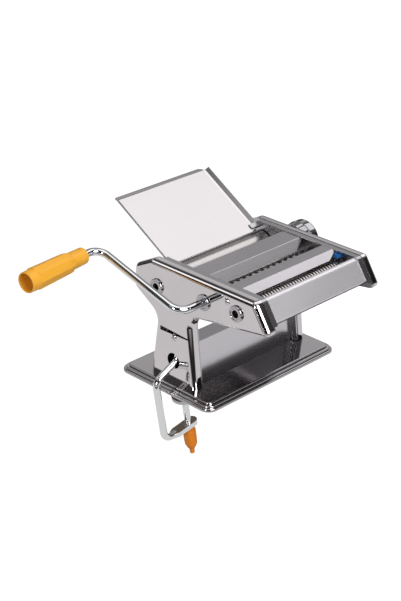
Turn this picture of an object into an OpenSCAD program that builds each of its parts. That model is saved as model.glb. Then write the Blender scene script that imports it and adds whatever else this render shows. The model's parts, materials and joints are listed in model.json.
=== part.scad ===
// Hand cranked pasta machine, in millimetres.
// X runs along the rollers with the crank at minus X, plus Y is the feed tray's side, Z is up.
// The origin is the middle of the base's underside.

/* [Base] */
// Width of the base along the rollers
base_w = 206; // [190:1:240]
// Depth of the base from front to back
base_d = 138; // [120:1:180]
// Height of the base's top above the table
base_h = 8.5; // [7.5:0.5:12]
// Corner radius of the base
base_corner = 12; // [10:1:20]
// Sheet thickness of the base shell
base_sheet = 1.2; // [0.8:0.1:1.4]
// Height of the bead round the rim
rim_bead = 3.5; // [2.5:0.1:4]
// Inset of the rim's middle step from the bead
rim_step = 2.5; // [1:0.1:3.5]
// Inset of the base's top from the bead
rim_inset = 6; // [5:0.5:8]

/* [Side covers and frames] */
// Width over the two side covers
body_w = 178; // [160:1:180]
// Height of the side covers' top
body_top = 141; // [136:1:160]
// Depth of a side cover from its face to its rim
flange_depth = 11; // [10.5:0.5:14]
// Sheet thickness of a side cover
cover_sheet = 1.2; // [0.8:0.1:1.6]
// Thickness of an inner frame
frame_t = 2.5; // [2:0.1:3.5]
// Reach of the nose in front of the narrow cutter's axis
nose_reach = 45; // [40:0.5:50]
// How far the nose leans back from its tip to the top
nose_slant = 21; // [12:0.5:22]
// Height of the nose's front edge
nose_drop = 32; // [26:0.5:34]
// Fall of the wing's lower edge from the nose to the leg
wing_fall = 17; // [10:0.5:20]
// Reach of the tail behind the fixed roller's axis
tail_reach = 36.5; // [34:0.5:42]
// Half depth of the leg at its foot
leg_foot = 34; // [30:0.5:42]
// Half depth of the leg at its waist
leg_waist = 24; // [20:0.5:27]
// Radius of the side covers' outer corners
corner_r = 7; // [5:0.5:9]
// Radius of the nose's tip
tip_r = 4; // [2:0.5:7]
// Radius of the arch between the wing and the leg
arch_r = 14; // [8:0.5:18]

/* [Smooth rollers] */
// Diameter of the smooth rollers
roller_d = 31; // [28:0.5:33]
// Gap between the smooth rollers at the finest setting
roller_gap = 0.6; // [0.4:0.1:1.5]
// Travel of the adjustable roller
gap_travel = 2.4; // [1.5:0.1:2.8]
// Distance of the fixed roller's axis behind the middle of the base
roller_back = 23; // [20:0.5:26]
// Depth of the fixed roller's axis below the top
axis_drop = 28.4; // [27:0.1:32]
// Tilt of the line from the fixed to the adjustable roller
nip_tilt = 10.6; // [4:0.1:14]

/* [Cutters] */
// Outside diameter of the cutter rollers
cutter_d = 19; // [17:0.5:20]
// Depth that paired cutter rollers reach into each other
cutter_bite = 2.5; // [1.5:0.1:3]
// Ridges on a wide cutter roller
wide_ridges = 16; // [8:1:16]
// Ridges on a narrow cutter roller
narrow_ridges = 36; // [28:1:40]
// Space between the adjustable roller and the wide cutter
feed_space = 12.5; // [11:0.5:16]
// Space between the two cutters
cutter_space = 10.8; // [9.5:0.1:14]
// Rise of the cutters' axes towards the front
axis_rise = 4.4; // [2:0.1:5]

/* [Drive] */
// Diameter of a driven shaft where the crank goes in
shaft_d = 11.3; // [10.8:0.1:12]
// Diameter of the other journals
journal_d = 8; // [7:0.1:9]
// Diameter of the crank socket
socket_d = 8.7; // [8.7:0.05:9]
// Depth of the round part of the crank socket
socket_depth = 23; // [18:0.5:28]
// Teeth on every gear
gear_teeth = 16; // [16:2:20]
// Width of every gear
gear_face = 5.5; // [4:0.5:6.5]
// Outside diameter of the bush rings in the crank side cover
ring_d = 18; // [16:0.5:20]

/* [Sheet metal] */
// Thickness of the guide plates, front cover, panel and tray
sheet_t = 1; // [0.6:0.1:1.2]
// Run of a guide plate's slope
slope_run = 10; // [8:0.5:12]
// Amount the slope's lower edge is cut back at the knob's end
end_cut = 20; // [8:1:30]
// Depth of the rear guide plate's flat
rear_flat = 25; // [20:0.5:26]
// Depth of the front guide plate's flat
front_flat = 14.5; // [12:0.5:19]
// Width of the front cover's lips
cover_lip = 5; // [3:0.5:6]
// Distance of the lower panel's foot in front of the middle
panel_foot = 26.6; // [20:0.2:28]
// Height of the lower panel
panel_h = 59.5; // [45:0.5:66]
// Height of the folded strip along the lower panel's top
panel_fold = 11.5; // [6:0.5:16]

/* [Feed tray] */
// Distance of the feed tray's sides from the inner frames
tray_margin = 9; // [8:0.5:20]
// Length of the feed tray up its slope
tray_len = 95.5; // [70:0.5:130]
// Slope of the feed tray
tray_slope = 30.8; // [26:0.2:34]
// Width of the tray's flared sides
tray_side = 6; // [4:0.5:7]
// Width of the tray's top lip
tray_lip = 8; // [5:0.5:12]

/* [Regulator] */
// Diameter of the regulator knob
knob_d = 43; // [36:1:44]
// Length of the regulator knob
knob_len = 24; // [22:0.5:30]
// Pull of the regulator knob
knob_pull = 4; // [3:0.5:4.5]
// Flutes round the knob's skirt
knob_flutes = 24; // [16:1:30]

/* [Crank] */
// Diameter of the crank rod
crank_d = 8.5; // [7.5:0.1:8.5]
// Length of the crank arm between its corners
crank_arm = 125; // [90:1:135]
// Angle of the crank arm above the horizontal
crank_angle = 15.4; // [-30:0.2:60]
// Distance of the crank arm outside the clamp's rod
arm_clear = 7; // [7:0.5:12]
// Length of the grip
grip_len = 83; // [70:1:100]
// Largest diameter of the grip
grip_d = 25.5; // [21:0.5:28]
// Length of the grip's neck
neck_len = 21; // [14:0.5:26]
// Length of the grip's shoulder
shoulder_len = 8.5; // [5:0.5:12]
// Length of the collar at the grip's open end
collar_len = 11; // [10:0.5:22]
// Lean of the grip towards the crank's axis
grip_lean = 5.3; // [0:0.1:8]

/* [Clamp] */
// Diameter of the clamp's rod
clamp_d = 8; // [6:0.5:9]
// Distance of the clamp's rod outside the base's edge
clamp_clear = 14; // [13:0.5:24]
// Depth of the clamp's arm below its hook
clamp_depth = 86; // [70:1:110]
// Length of the clamp's arm from its rod to its end
clamp_arm = 48; // [46:1:54]
// Lean of the clamp
clamp_lean = 10; // [0:0.5:12]
// Diameter of the clamp's pad
pad_d = 28; // [20:1:32]
// Diameter of the clamp's screw
screw_d = 7.6; // [6:0.1:8]
// Height of the clamp's hook above the table
hook_h = 29.2; // [26:0.2:36]

/* [Hidden] */
$fn = 64;
corner_steps = 6;
fit = 0.08;
air = 0.3;

// Base levels
shell_lift = 0.5;
bead_top = shell_lift + rim_bead;
step_top = (bead_top + base_h) / 2;
board_inset = rim_inset + base_sheet + air;

// Widths from the middle outwards
cover_out = body_w / 2;
cover_in = cover_out - cover_sheet;
frame_out = cover_out - flange_depth;
frame_in = frame_out - frame_t;
bush_flange = 1.2;
roller_end = frame_in - bush_flange - air;

// Roller axes, as places in the Y Z plane
roller_r = roller_d / 2;
cutter_r = cutter_d / 2;
pair_c = roller_d + roller_gap;
cut_c = cutter_d - cutter_bite;
fixed_at = [roller_back, body_top - axis_drop];
adjust_at = fixed_at + pair_c * [-cos(nip_tilt), sin(nip_tilt)];
wide_y = adjust_at[0] - roller_r - feed_space - cutter_r;
wide_at = [wide_y, fixed_at[1] + (roller_back - wide_y) * tan(axis_rise)];
wide_counter_at = wide_at - [cut_c, 0];
narrow_y = wide_counter_at[0] - cutter_d - cutter_space;
narrow_at = [narrow_y, fixed_at[1] + (roller_back - narrow_y) * tan(axis_rise)];
narrow_counter_at = narrow_at - [cut_c, 0];

// Shafts, bushes and gears
shaft_r = shaft_d / 2;
journal_r = journal_d / 2;
socket_r = socket_d / 2;
bush_wall = 1.5;
bush_lip = 1;
ring_out = 2.5;
shaft_out = cover_out + ring_out - 0.7;
far_end = frame_out + 1;
gear_far = cover_in - 1.5;
tongue_w = 5;
tongue_len = 6;
groove_r = cutter_r - cutter_bite - 0.5;
ridge_clear = 0.15;
comb_w = 3.5;
comb_h = 4;
comb_t = 1.2;
comb_lift = 0.9;
comb_gap = 1;
comb_tip = 2;
scraper_w = 12;
scraper_t = 1.5;
scraper_gap = 0.8;
scraper_off = 2;

// Side cover outline, each corner as place and radius
nose_tip = [narrow_y - nose_reach, body_top - nose_drop];
nose_top = [nose_tip[0] + nose_slant, body_top];
tail_y = roller_back + tail_reach;
tail_low = 40;
tail_high = 13.5;
rear_top = 27;
waist_low = 62;
cover_path = [
    [tail_y - rear_top, body_top, corner_r],
    [nose_top[0], nose_top[1], corner_r],
    [nose_tip[0], nose_tip[1], tip_r],
    [-leg_waist, nose_tip[1] - wing_fall, arch_r],
    [-leg_foot, base_h, 0],
    [leg_foot, base_h, 0],
    [leg_waist, body_top - waist_low, 16],
    [tail_y, body_top - tail_low, corner_r],
    [tail_y - 1, body_top - tail_high, corner_r]
];
frame_inset = 0.6;

// Slit in the crank side's leg, as places of its ends and widths there
slit_h = 58;
slit_rear = [18, 3];
slit_front = [-24, 0.8];

// Screws and posts of the side covers
cover_screw_r = 2;
screw_head_t = 1.6;
post_r = 3.5;
post_floor = 2;
post_gap = 0.4;
leg_screw_h = 53.6;
top_screw_drop = 10.3;
screw_places = [
    [(wide_counter_at[0] + narrow_at[0]) / 2 - 1.8, body_top - top_screw_drop],
    [-3, base_h + leg_screw_h]
];
foot_t = 2;
foot_w = 14;
foot_front = panel_foot - sheet_t - 2 * air;
foot_back = leg_foot - 4;
screw_inset = 2.7;
base_screw_y = [foot_back - 4.5 * screw_inset, -foot_front + screw_inset];
base_screw_places = [for (y = base_screw_y, side = [1, -1]) [y, side]];
base_screw_x = frame_in - 7.5;
tie_r = 2.5;
tie_nut_r = 4.5;
tie_len = 3;
tie_inset = 9.5;
tie_drop = 4;
tie_front = 4.8;
tie_places = [
    [tail_y - tie_inset, fixed_at[1] - tie_drop],
    [narrow_counter_at[0] - cutter_r - tie_front, narrow_at[1] - 0.6 * tie_drop]
];

// Folded edges of the inner frames, over the plates' ends
fold_w = 5;
fold_back = 26;
fold_share = 0.8;
fold_inset = frame_inset + 0.05;

// Guide plates
plate_top = body_top - fold_inset - sheet_t - fit;
guide_clear = 2.2;
guide_back = 1.3;
rear_fold = wide_at[0] + slope_run;
front_fold = narrow_at[0] + slope_run;
plate_lip = 3;

// Front cover runs down the nose to this share of its edge
cover_inset = fold_inset + sheet_t + fit;
cover_share = 0.77;

// Feed tray, placed by its lower edge over the fixed roller
tray_w = 2 * (frame_in - tray_margin);
tray_clear = 2.3;
tray_at = [roller_back + 1.8, fixed_at[1] + roller_r + tray_clear];
rest_start = 3.5;
rest_len = 6;
rest_wall = 1.2;
rest_reach = 4.5;
tab_gap = air;

// Regulator, on the adjustable roller's axis at rest
throw = gap_travel / 2;
cam_r = 8;
cam_clear = 0.35;
yoke_t = 4;
block_s = 9;
block_n = 8;
block_out = frame_out + 2;
cam_in = block_out + 0.2;
cam_t = yoke_t - 0.4;
regulator_r = 5;
shank = 7;
knob_in = cover_out + 2.7;
knob_out = knob_in + knob_len;
web_out = knob_in + 7;
retainer_in = web_out + 8.4;
retainer_t = 2;
cavity_r = 9;
cap_t = 5;
skirt_len = 10;
pin_r = 1.5;
pin_ring = 14;
spring_wire = 0.8;
spring_turns = 4;
spring_r = 6.4;

// Crank
clamp_reach = (base_w - body_w) / 2 + clamp_clear;
crank_r = crank_d / 2;
arm_x = -(cover_out + clamp_reach + arm_clear);
socket_end = -(shaft_out - socket_depth);
grip_start = 23;
grip_hold = 34;
grip_bend = [-cos(grip_lean), -sin(grip_lean)];
crank_bend = 14;
washer_r = 7;
washer_t = 1.5;
neck_step = 3.7;
flat_step = 1.4;
collar_step = 1.6;

// Bends are a hair thicker than their rod, and its lengths reach a little way into them
bend_lap = 0.3;
bend_swell = 0.03;

// Clamp, in its own upright frame with the hook's rod at the origin
clamp_r = clamp_d / 2;
clamp_bend = clamp_r + 5;
clamp_y = -2;
hook_in = 8.5;
hook_up = 8;
hook_slope = 15;
hook_hole_r = 9;
arm_w = 12;
arm_t = 6;
arm_end = clamp_arm - clamp_reach;
eye_back = 11.7;
screw_x = arm_end - eye_back;
screw_r = screw_d / 2;
pad_t = 4;
pad_floor = 1.6;
collar_t = 2;
pad_gap = 41;
pad_top = clamp_depth - pad_gap;
thumb_top = clamp_depth + arm_t / 2 + 3.3;
thumb_len = 27;
thumb_r = 7.5;
tip_len = 10;

// Helpers for outlines
function flat(p) = [p[0], p[1]];
function unit(v) = v / norm(v);
function left_of(p, q) = [p[1] - q[1], q[0] - p[0]] / norm(q - p);
function miter(a, b) = (a + b) / (1 + a * b);
function wrap(i, n) = (i + n) % n;

// Points of one rounded corner between its neighbours
function corner_arc(before, at, after, r) =
    r <= 0 ? [at] :
    let (a = unit(before - at), b = unit(after - at), half = acos(a * b) / 2)
    let (middle = at + unit(a + b) * r / sin(half))
    let (s = at + a * r / tan(half) - middle, e = at + b * r / tan(half) - middle)
    let (start = atan2(s[1], s[0]), turn = (atan2(e[1], e[0]) - start + 540) % 360 - 180)
    [for (i = [0 : corner_steps]) middle + r * [cos(start + turn * i / corner_steps),
                                                sin(start + turn * i / corner_steps)]];

// Closed outline with every corner rounded
function rounded(path) =
    let (n = len(path))
    [for (i = [0 : n - 1]) each corner_arc(
        flat(path[wrap(i - 1, n)]), flat(path[i]), flat(path[wrap(i + 1, n)]), path[i][2])];

// The same closed outline drawn in by a distance, with its radii kept concentric
function drawn_in(path, d) =
    let (n = len(path))
    [for (i = [0 : n - 1])
        let (p = flat(path[wrap(i - 1, n)]), c = flat(path[i]), q = flat(path[wrap(i + 1, n)]))
        let (at = c + d * miter(left_of(p, c), left_of(c, q)))
        let (outward = cross(c - p, q - c) > 0)
        [at[0], at[1], path[i][2] == 0 ? 0 : max(path[i][2] + (outward ? -d : d), 0.5)]];

// Edge of the nose drawn in by a distance: from a place on the top round the corner to a share of the nose
function nose_edge(top_y, d, share) =
    let (inner = drawn_in(cover_path, d), top = flat(inner[1]), tip = flat(inner[2]))
    let (start = [top_y, top[1]], end = top + share * (tip - top))
    concat([start], corner_arc(start, top, end, inner[1][2]), [end]);

// Outline of a bent sheet whose thickness lies to the left of the path
function sheet_outline(path, t) =
    let (last = len(path) - 1)
    let (shifted = [for (i = [0 : last]) path[i] + t * (
        i == 0 ? left_of(path[0], path[1]) :
        i == last ? left_of(path[last - 1], path[last]) :
        miter(left_of(path[i - 1], path[i]), left_of(path[i], path[i + 1])))])
    concat(path, [for (i = [last : -1 : 0]) shifted[i]]);

// Helpers for solids along X
module along_x(x0, x1) {
    translate([x0, 0, 0]) rotate([90, 0, 90]) linear_extrude(x1 - x0) children();
}

module plate(path, x0, x1) {
    along_x(x0, x1) polygon(rounded(path));
}

module sheet_x(path, x0, x1) {
    along_x(x0, x1) polygon(sheet_outline(path, sheet_t));
}

module bar(at, r, x0, x1) {
    translate([x0, at[0], at[1]]) rotate([0, 90, 0]) cylinder(r = r, h = x1 - x0);
}

module block(at, size, x0, x1) {
    translate([x0, at[0], at[1]]) cube([x1 - x0, size[0], size[1]]);
}

module both_sides() {
    children();
    mirror([1, 0, 0]) children();
}

module crank_side() {
    mirror([1, 0, 0]) children();
}

// Base
module round_rect(inset) {
    w = base_w - 2 * inset;
    d = base_d - 2 * inset;
    r = max(base_corner - inset, 2);
    square([w - 2 * r, d], center = true);
    square([w, d - 2 * r], center = true);
    for (x = [-1, 1], y = [-1, 1]) translate([x * (w / 2 - r), y * (d / 2 - r)]) circle(r);
}

module slab(inset, z0, z1) {
    translate([0, 0, z0]) linear_extrude(z1 - z0) round_rect(inset);
}

module base_screw_at() {
    for (p = base_screw_places) translate([p[1] * base_screw_x, p[0], 0]) children();
}

module base_shell() {
    color("silver") difference() {
        union() {
            slab(0, shell_lift, bead_top);
            slab(rim_step, bead_top, step_top);
            slab(rim_inset, step_top, base_h);
        }
        slab(base_sheet, -1, bead_top - base_sheet);
        slab(rim_step + base_sheet, -1, step_top - base_sheet);
        slab(rim_inset + base_sheet, -1, base_h - base_sheet);
        base_screw_at() cylinder(r = cover_screw_r, h = 2 * base_h);
    }
}

module base_board() {
    color("burlywood") difference() {
        slab(board_inset, 0, base_h - base_sheet);
        base_screw_at() {
            translate([0, 0, -1]) cylinder(r = 2 * cover_screw_r + air, h = 3.2);
            cylinder(r = cover_screw_r + air, h = base_h);
        }
    }
}

module base_screws() {
    color("dimgray") base_screw_at() {
        translate([0, 0, 0.7]) cylinder(r = 2 * cover_screw_r, h = 1.5);
        translate([0, 0, 0.7]) cylinder(r = cover_screw_r, h = base_h + foot_t + 0.5);
    }
}

// Side covers, drawn for the knob side
module side_shell() {
    difference() {
        plate(cover_path, frame_out, cover_out);
        plate(drawn_in(cover_path, cover_sheet), frame_out - 1, cover_in);
        for (p = screw_places) bar(p, cover_screw_r + air, frame_out, cover_out + 1);
    }
}

module side_cover_crank() {
    color("gainsboro") crank_side() difference() {
        side_shell();
        for (p = [fixed_at, wide_at, narrow_at]) bar(p, shaft_r + bush_wall, frame_out, cover_out + 1);
        bar([clamp_y, hook_h + 4.3], hook_hole_r, frame_out, cover_out + 1);
        along_x(frame_out, cover_out + 1) translate([0, base_h + slit_h]) polygon([
            for (e = [slit_rear, slit_front]) [e[0], e[1] / 2],
            for (e = [slit_front, slit_rear]) [e[0], -e[1] / 2]]);
    }
}

module side_cover_knob() {
    color("gainsboro") difference() {
        side_shell();
        bar(adjust_at, regulator_r + 2 * bush_wall, frame_out, cover_out + 1);
        bar(adjust_at + [0, pin_ring], pin_r, frame_out, cover_out + 1);
    }
}

// Inner frames, drawn for the knob side
module at_block() {
    translate([0, adjust_at[0], adjust_at[1]]) rotate([180 - nip_tilt, 0, 0]) children();
}

module frame_plate(drive_r) {
    difference() {
        union() {
            plate(drawn_in(cover_path, frame_inset), frame_in, frame_out);
            sheet_x(nose_edge(fold_back, fold_inset, fold_share), frame_in - fold_w, frame_in + 0.5);
            block([-foot_front, base_h], [foot_front + foot_back, foot_t], frame_in - foot_w, frame_out);
        }
        for (p = [fixed_at, wide_at, narrow_at]) bar(p, drive_r + bush_wall, frame_in - 1, frame_out + 1);
        for (p = [wide_counter_at, narrow_counter_at])
            bar(p, journal_r + bush_wall, frame_in - 1, frame_out + 1);
        for (p = tie_places) bar(p, tie_r, frame_in - 1, frame_out + 1);
        at_block() translate([frame_in - 1, -block_s - air, -block_n - fit])
            cube([frame_t + 2, 2 * block_s + gap_travel + 2 * air, 2 * block_n + 2 * fit]);
        for (p = base_screw_places) if (p[1] > 0)
            translate([base_screw_x, p[0], 0]) cylinder(r = cover_screw_r, h = 2 * base_h);
    }
}

module inner_frame_crank() {
    color("slategray") crank_side() difference() {
        frame_plate(shaft_r);
        bar([clamp_y, hook_h + 8], hook_hole_r, frame_in - 1, frame_out + 1);
    }
}

module inner_frame_knob() {
    color("slategray") frame_plate(journal_r);
}

module cover_posts() {
    color("gray") both_sides() for (p = screw_places) difference() {
        bar(p, post_r, frame_out, cover_in - post_gap);
        bar(p, cover_screw_r, frame_out + post_floor, cover_in + 1);
    }
}

module cover_screws() {
    color("white") both_sides() for (p = screw_places) {
        bar(p, cover_screw_r, frame_out + post_floor + air, cover_out + 0.5);
        bar(p, 2 * cover_screw_r, cover_out, cover_out + screw_head_t);
    }
}

module tie_rods() {
    color("gray") for (p = tie_places) bar(p, tie_r, -frame_out - tie_len, frame_out + tie_len);
}

module tie_nuts() {
    color("dimgray") both_sides() for (p = tie_places) difference() {
        translate([frame_out, p[0], p[1]]) rotate([0, 90, 0]) cylinder(r = tie_nut_r, h = tie_len, $fn = 6);
        bar(p, tie_r, frame_out - 1, frame_out + tie_len + 1);
    }
}

// Sheet metal between the frames
module front_panel() {
    lean = (leg_foot - leg_waist) / (nose_tip[1] - base_h);
    fold = [-panel_foot + lean * panel_h, base_h + panel_h - panel_fold];
    path = [fold + [0.4 * panel_fold, panel_fold], fold, [-panel_foot, base_h + lean * sheet_t]];
    color("lightgray") sheet_x(path, -frame_in, frame_in);
}

module slope_cuts(fold_y, low_y) {
    translate([0, 0, body_top / 2]) linear_extrude(body_top) polygon([
        [frame_in, fold_y], [frame_in - end_cut, low_y - sheet_t],
        [frame_in + 1, low_y - sheet_t], [frame_in + 1, fold_y]]);
}

module guide_plate(fold_y, flat_d, axis_at) {
    low = [axis_at[0] + guide_back, axis_at[1] + cutter_r + guide_clear];
    rear = [fold_y + flat_d, plate_top];
    path = [rear - [0, plate_lip], rear, [fold_y, plate_top], low];
    difference() {
        sheet_x(path, -frame_in, frame_in);
        slope_cuts(fold_y, low[0]);
    }
}

module guide_plate_rear() {
    color("silver") guide_plate(rear_fold, rear_flat, wide_at);
}

module guide_plate_front() {
    color("silver") guide_plate(front_fold, front_flat, narrow_at);
}

module front_cover() {
    edge = nose_edge(nose_top[0] + cover_lip, cover_inset, cover_share);
    path = concat(edge, [edge[len(edge) - 1] + [cover_lip, -0.25 * cover_lip]]);
    color("silver") sheet_x(path, -frame_in, frame_in);
}

module throat_cheeks() {
    low = narrow_at[1] + cutter_r + guide_clear;
    at = [front_fold - 1.1 * slope_run, low];
    size = [0.6 * slope_run, plate_top - 1.5 - low];
    color("royalblue") block(at, size, frame_in - 0.47 * end_cut, frame_in);
}

// Feed tray and the slotted rests that hold its lower corners
module at_tray() {
    translate([0, tray_at[0], tray_at[1]]) rotate([tray_slope, 0, 0]) children();
}

module feed_tray() {
    flare = tray_side * [cos(45), sin(45)];
    half = tray_w / 2;
    start = rest_start + rest_len + tab_gap;
    section = [[half + flare[0], flare[1]], [half, 0], [-half, 0], [-half - flare[0], flare[1]]];
    color("whitesmoke") at_tray() {
        translate([-half, 0, -sheet_t]) cube([tray_w, tray_len, sheet_t]);
        translate([0, tray_len, 0]) rotate([90, 0, 0]) linear_extrude(tray_len - start)
            polygon(sheet_outline(section, sheet_t));
        translate([-half, tray_len, 0]) rotate([-tray_slope, 0, 0]) translate([0, -0.3, -sheet_t])
            cube([tray_w, tray_lip, sheet_t]);
    }
}

module tray_rests() {
    half = tray_w / 2;
    color("dimgray") both_sides() at_tray() difference() {
        translate([half - rest_reach, rest_start, -sheet_t - air - rest_wall])
            cube([frame_in - half + rest_reach, rest_len, sheet_t + 2 * air + 2 * rest_wall]);
        translate([half - rest_reach - 1, rest_start - 1, -sheet_t - air])
            cube([rest_reach + 1 + air, rest_len + 2, sheet_t + 2 * air]);
    }
}

// Bushes
module drive_rings() {
    color("gainsboro") crank_side() for (p = [fixed_at, wide_at, narrow_at]) difference() {
        union() {
            bar(p, ring_d / 2, cover_out, cover_out + ring_out);
            bar(p, shaft_r + bush_wall, cover_in - 0.5, cover_out + 1);
        }
        bar(p, shaft_r + fit, cover_in - 2, cover_out + ring_out + 1);
    }
}

// Flanged bush in a frame, drawn for the knob side
module frame_bush(at, r) {
    difference() {
        union() {
            bar(at, r + bush_wall + bush_lip, frame_in - bush_flange, frame_in);
            bar(at, r + bush_wall, frame_in - bush_flange, frame_out);
        }
        bar(at, r + fit, frame_in - bush_flange - 1, frame_out + 1);
    }
}

module pair_bushes(drive_at, counter_at) {
    crank_side() frame_bush(drive_at, shaft_r);
    frame_bush(drive_at, journal_r);
    both_sides() frame_bush(counter_at, journal_r);
}

module roller_bushes() {
    color("darkgoldenrod") {
        crank_side() frame_bush(fixed_at, shaft_r);
        frame_bush(fixed_at, journal_r);
    }
}

module wide_bushes() {
    color("darkgoldenrod") pair_bushes(wide_at, wide_counter_at);
}

module narrow_bushes() {
    color("dimgray") pair_bushes(narrow_at, narrow_counter_at);
}

// Stripper comb whose teeth lie in a cutter's grooves, with its bar on the given side
module comb(at, ridges, shift, side) {
    pitch = 2 * roller_end / ridges;
    tooth = pitch / 2 - 2 * ridge_clear - 0.5;
    z = at[1] - cutter_r + comb_lift;
    bar_y = side > 0 ? at[0] + cutter_r + comb_gap : at[0] - cutter_r - comb_gap - comb_w;
    tooth_y = side > 0 ? at[0] - comb_tip : at[0] - cutter_r - comb_tip;
    block([bar_y, z - comb_h / 2], [comb_w, comb_h], -frame_in, frame_in);
    for (i = [0 : ridges - 1]) translate([-roller_end + (i + shift) * pitch - tooth / 2, tooth_y, z])
        cube([tooth, cutter_r + 2 * comb_tip, comb_t]);
}

module comb_pair(drive_at, counter_at, ridges) {
    comb(drive_at, ridges, 0.75, 1);
    comb(counter_at, ridges, 0.25, -1);
}

module wide_combs() {
    color("dimgray") comb_pair(wide_at, wide_counter_at, wide_ridges);
}

module narrow_combs() {
    color("dimgray") comb_pair(narrow_at, narrow_counter_at, narrow_ridges);
}

module roller_scraper() {
    at = [fixed_at[0] + scraper_off, fixed_at[1] - roller_r - scraper_t - scraper_gap];
    color("dimgray") block(at, [scraper_w, scraper_t], -frame_in, frame_in);
}

// Gears, each as wide as its axis distance needs
function inv_deg(a) = tan(a) * 180 / PI - a;

module gear(at, towards, distance, turn, bore_r) {
    m = distance / gear_teeth;
    pitch_r = distance / 2;
    base_r = pitch_r * cos(20);
    tip_r = pitch_r + 0.9 * m;
    root_r = pitch_r - 1.25 * m;
    half = 90 / gear_teeth - 0.6;
    steps = 5;
    flank = [for (i = [0 : steps]) let (r = base_r + (tip_r - base_r) * i / steps)
        [r, half + inv_deg(20) - inv_deg(acos(base_r / r))]];
    tooth = concat([[root_r, -flank[0][1]]], [for (f = flank) [f[0], -f[1]]],
        [for (i = [steps : -1 : 0]) flank[i]], [[root_r, flank[0][1]]]);
    aim = atan2(towards[1] - at[1], towards[0] - at[0]) + turn * 180 / gear_teeth;
    difference() {
        along_x(-gear_far, -gear_far + gear_face) translate(at) polygon([
            for (k = [0 : gear_teeth - 1], p = tooth)
                p[0] * [cos(aim + k * 360 / gear_teeth + p[1]), sin(aim + k * 360 / gear_teeth + p[1])]]);
        bar(at, bore_r, -gear_far - 1, -gear_far + gear_face + 1);
    }
}

module smooth_gear() {
    color("goldenrod") gear(fixed_at, adjust_at, pair_c, 0, shaft_r);
}

module adjustable_gear() {
    color("goldenrod") gear(adjust_at, fixed_at, pair_c, 1, journal_r);
}

module wide_drive_gear() {
    color("goldenrod") gear(wide_at, wide_counter_at, cut_c, 0, shaft_r);
}

module wide_counter_gear() {
    color("goldenrod") gear(wide_counter_at, wide_at, cut_c, 1, journal_r);
}

module narrow_drive_gear() {
    color("goldenrod") gear(narrow_at, narrow_counter_at, cut_c, 0, shaft_r);
}

module narrow_counter_gear() {
    color("goldenrod") gear(narrow_counter_at, narrow_at, cut_c, 1, journal_r);
}

// Driven roller: its body and shaft together, with the crank socket cut into the end
module driven(at) {
    difference() {
        union() {
            children();
            bar(at, shaft_r, -shaft_out, -roller_end + 2);
            bar(at, journal_r, roller_end - 2, far_end);
        }
        bar(at, socket_r, -shaft_out - 1, socket_end);
        translate([socket_end - 1, at[0] - socket_r, at[1] - tongue_w / 2 - fit])
            cube([tongue_len + 2, 2 * socket_r, tongue_w + 2 * fit]);
    }
}

module smooth_roller() {
    color("gainsboro") driven(fixed_at) bar(fixed_at, roller_r, -roller_end, roller_end);
}

module adjustable_roller() {
    color("gainsboro") {
        bar(adjust_at, roller_r, -roller_end, roller_end);
        bar(adjust_at, journal_r, -gear_far, block_out - 0.5);
    }
}

// Cutter body turned about X: ridges start a given share of the pitch from the crank end
module cutter(at, ridges, shift) {
    pitch = 2 * roller_end / ridges;
    ridge = pitch / 2 - 2 * ridge_clear;
    profile = concat([[0, -roller_end], [groove_r, -roller_end]],
        [for (i = [0 : ridges - 1]) let (x = -roller_end + (i + shift) * pitch - ridge / 2)
            each [[groove_r, x], [cutter_r, x], [cutter_r, x + ridge], [groove_r, x + ridge]]],
        [[groove_r, roller_end], [0, roller_end]]);
    translate([0, at[0], at[1]]) rotate([0, 90, 0]) rotate_extrude() polygon(profile);
}

module counter_cutter(at, ridges) {
    cutter(at, ridges, 0.75);
    bar(at, journal_r, -gear_far, far_end);
}

module wide_drive_roller() {
    color("gainsboro") driven(wide_at) cutter(wide_at, wide_ridges, 0.25);
}

module wide_counter_roller() {
    color("gainsboro") counter_cutter(wide_counter_at, wide_ridges);
}

module narrow_drive_roller() {
    color("gainsboro") driven(narrow_at) cutter(narrow_at, narrow_ridges, 0.25);
}

module narrow_counter_roller() {
    color("gainsboro") counter_cutter(narrow_counter_at, narrow_ridges);
}

// Sliding blocks that carry the adjustable roller, drawn for the knob side
module gap_block() {
    difference() {
        at_block() {
            translate([frame_in - air, -block_s, -block_n])
                cube([block_out - frame_in + air, 2 * block_s, 2 * block_n]);
            translate([frame_out + 0.1, -block_s - 2, -block_n - 2])
                cube([block_out - frame_out - 0.1, 2 * block_s + 4, 2 * block_n + 4]);
        }
        bar(adjust_at, journal_r + fit, frame_in - 1, block_out + 1);
    }
}

module gap_block_crank() {
    color("darkgoldenrod") crank_side() gap_block();
}

module gap_block_knob() {
    yoke_s = cam_r + cam_clear;
    yoke_n = cam_r + throw + 0.5;
    color("darkgoldenrod") {
        gap_block();
        at_block() translate([block_out, 0, 0]) difference() {
            translate([0, -throw - yoke_s - 3, -yoke_n - 3]) cube([yoke_t, 2 * yoke_s + 6, 2 * yoke_n + 6]);
            translate([-1, -throw - yoke_s, -yoke_n]) cube([yoke_t + 2, 2 * yoke_s, 2 * yoke_n]);
        }
    }
}

module gap_scraper() {
    at = [adjust_at[0] - scraper_off - scraper_w, adjust_at[1] - roller_r - scraper_t - scraper_gap];
    tab_in = roller_end + air;
    color("dimgray") {
        block(at, [scraper_w, scraper_t], -frame_in + air, frame_in - air);
        both_sides() block(at, [scraper_w - block_s + 3.5, roller_r], tab_in, frame_in - air);
    }
}

// Regulator
module regulator_bush() {
    color("gainsboro") difference() {
        union() {
            bar(adjust_at, regulator_r + 4 * bush_wall, cover_out, cover_out + 1.5);
            bar(adjust_at, regulator_r + 2 * bush_wall, cover_in - 1, cover_out + 1);
        }
        bar(adjust_at, regulator_r + fit, cover_in - 2, cover_out + 3);
    }
}

module index_pin() {
    color("silver") bar(adjust_at + [0, pin_ring], pin_r, cover_in - 1, knob_in + 2);
}

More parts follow.
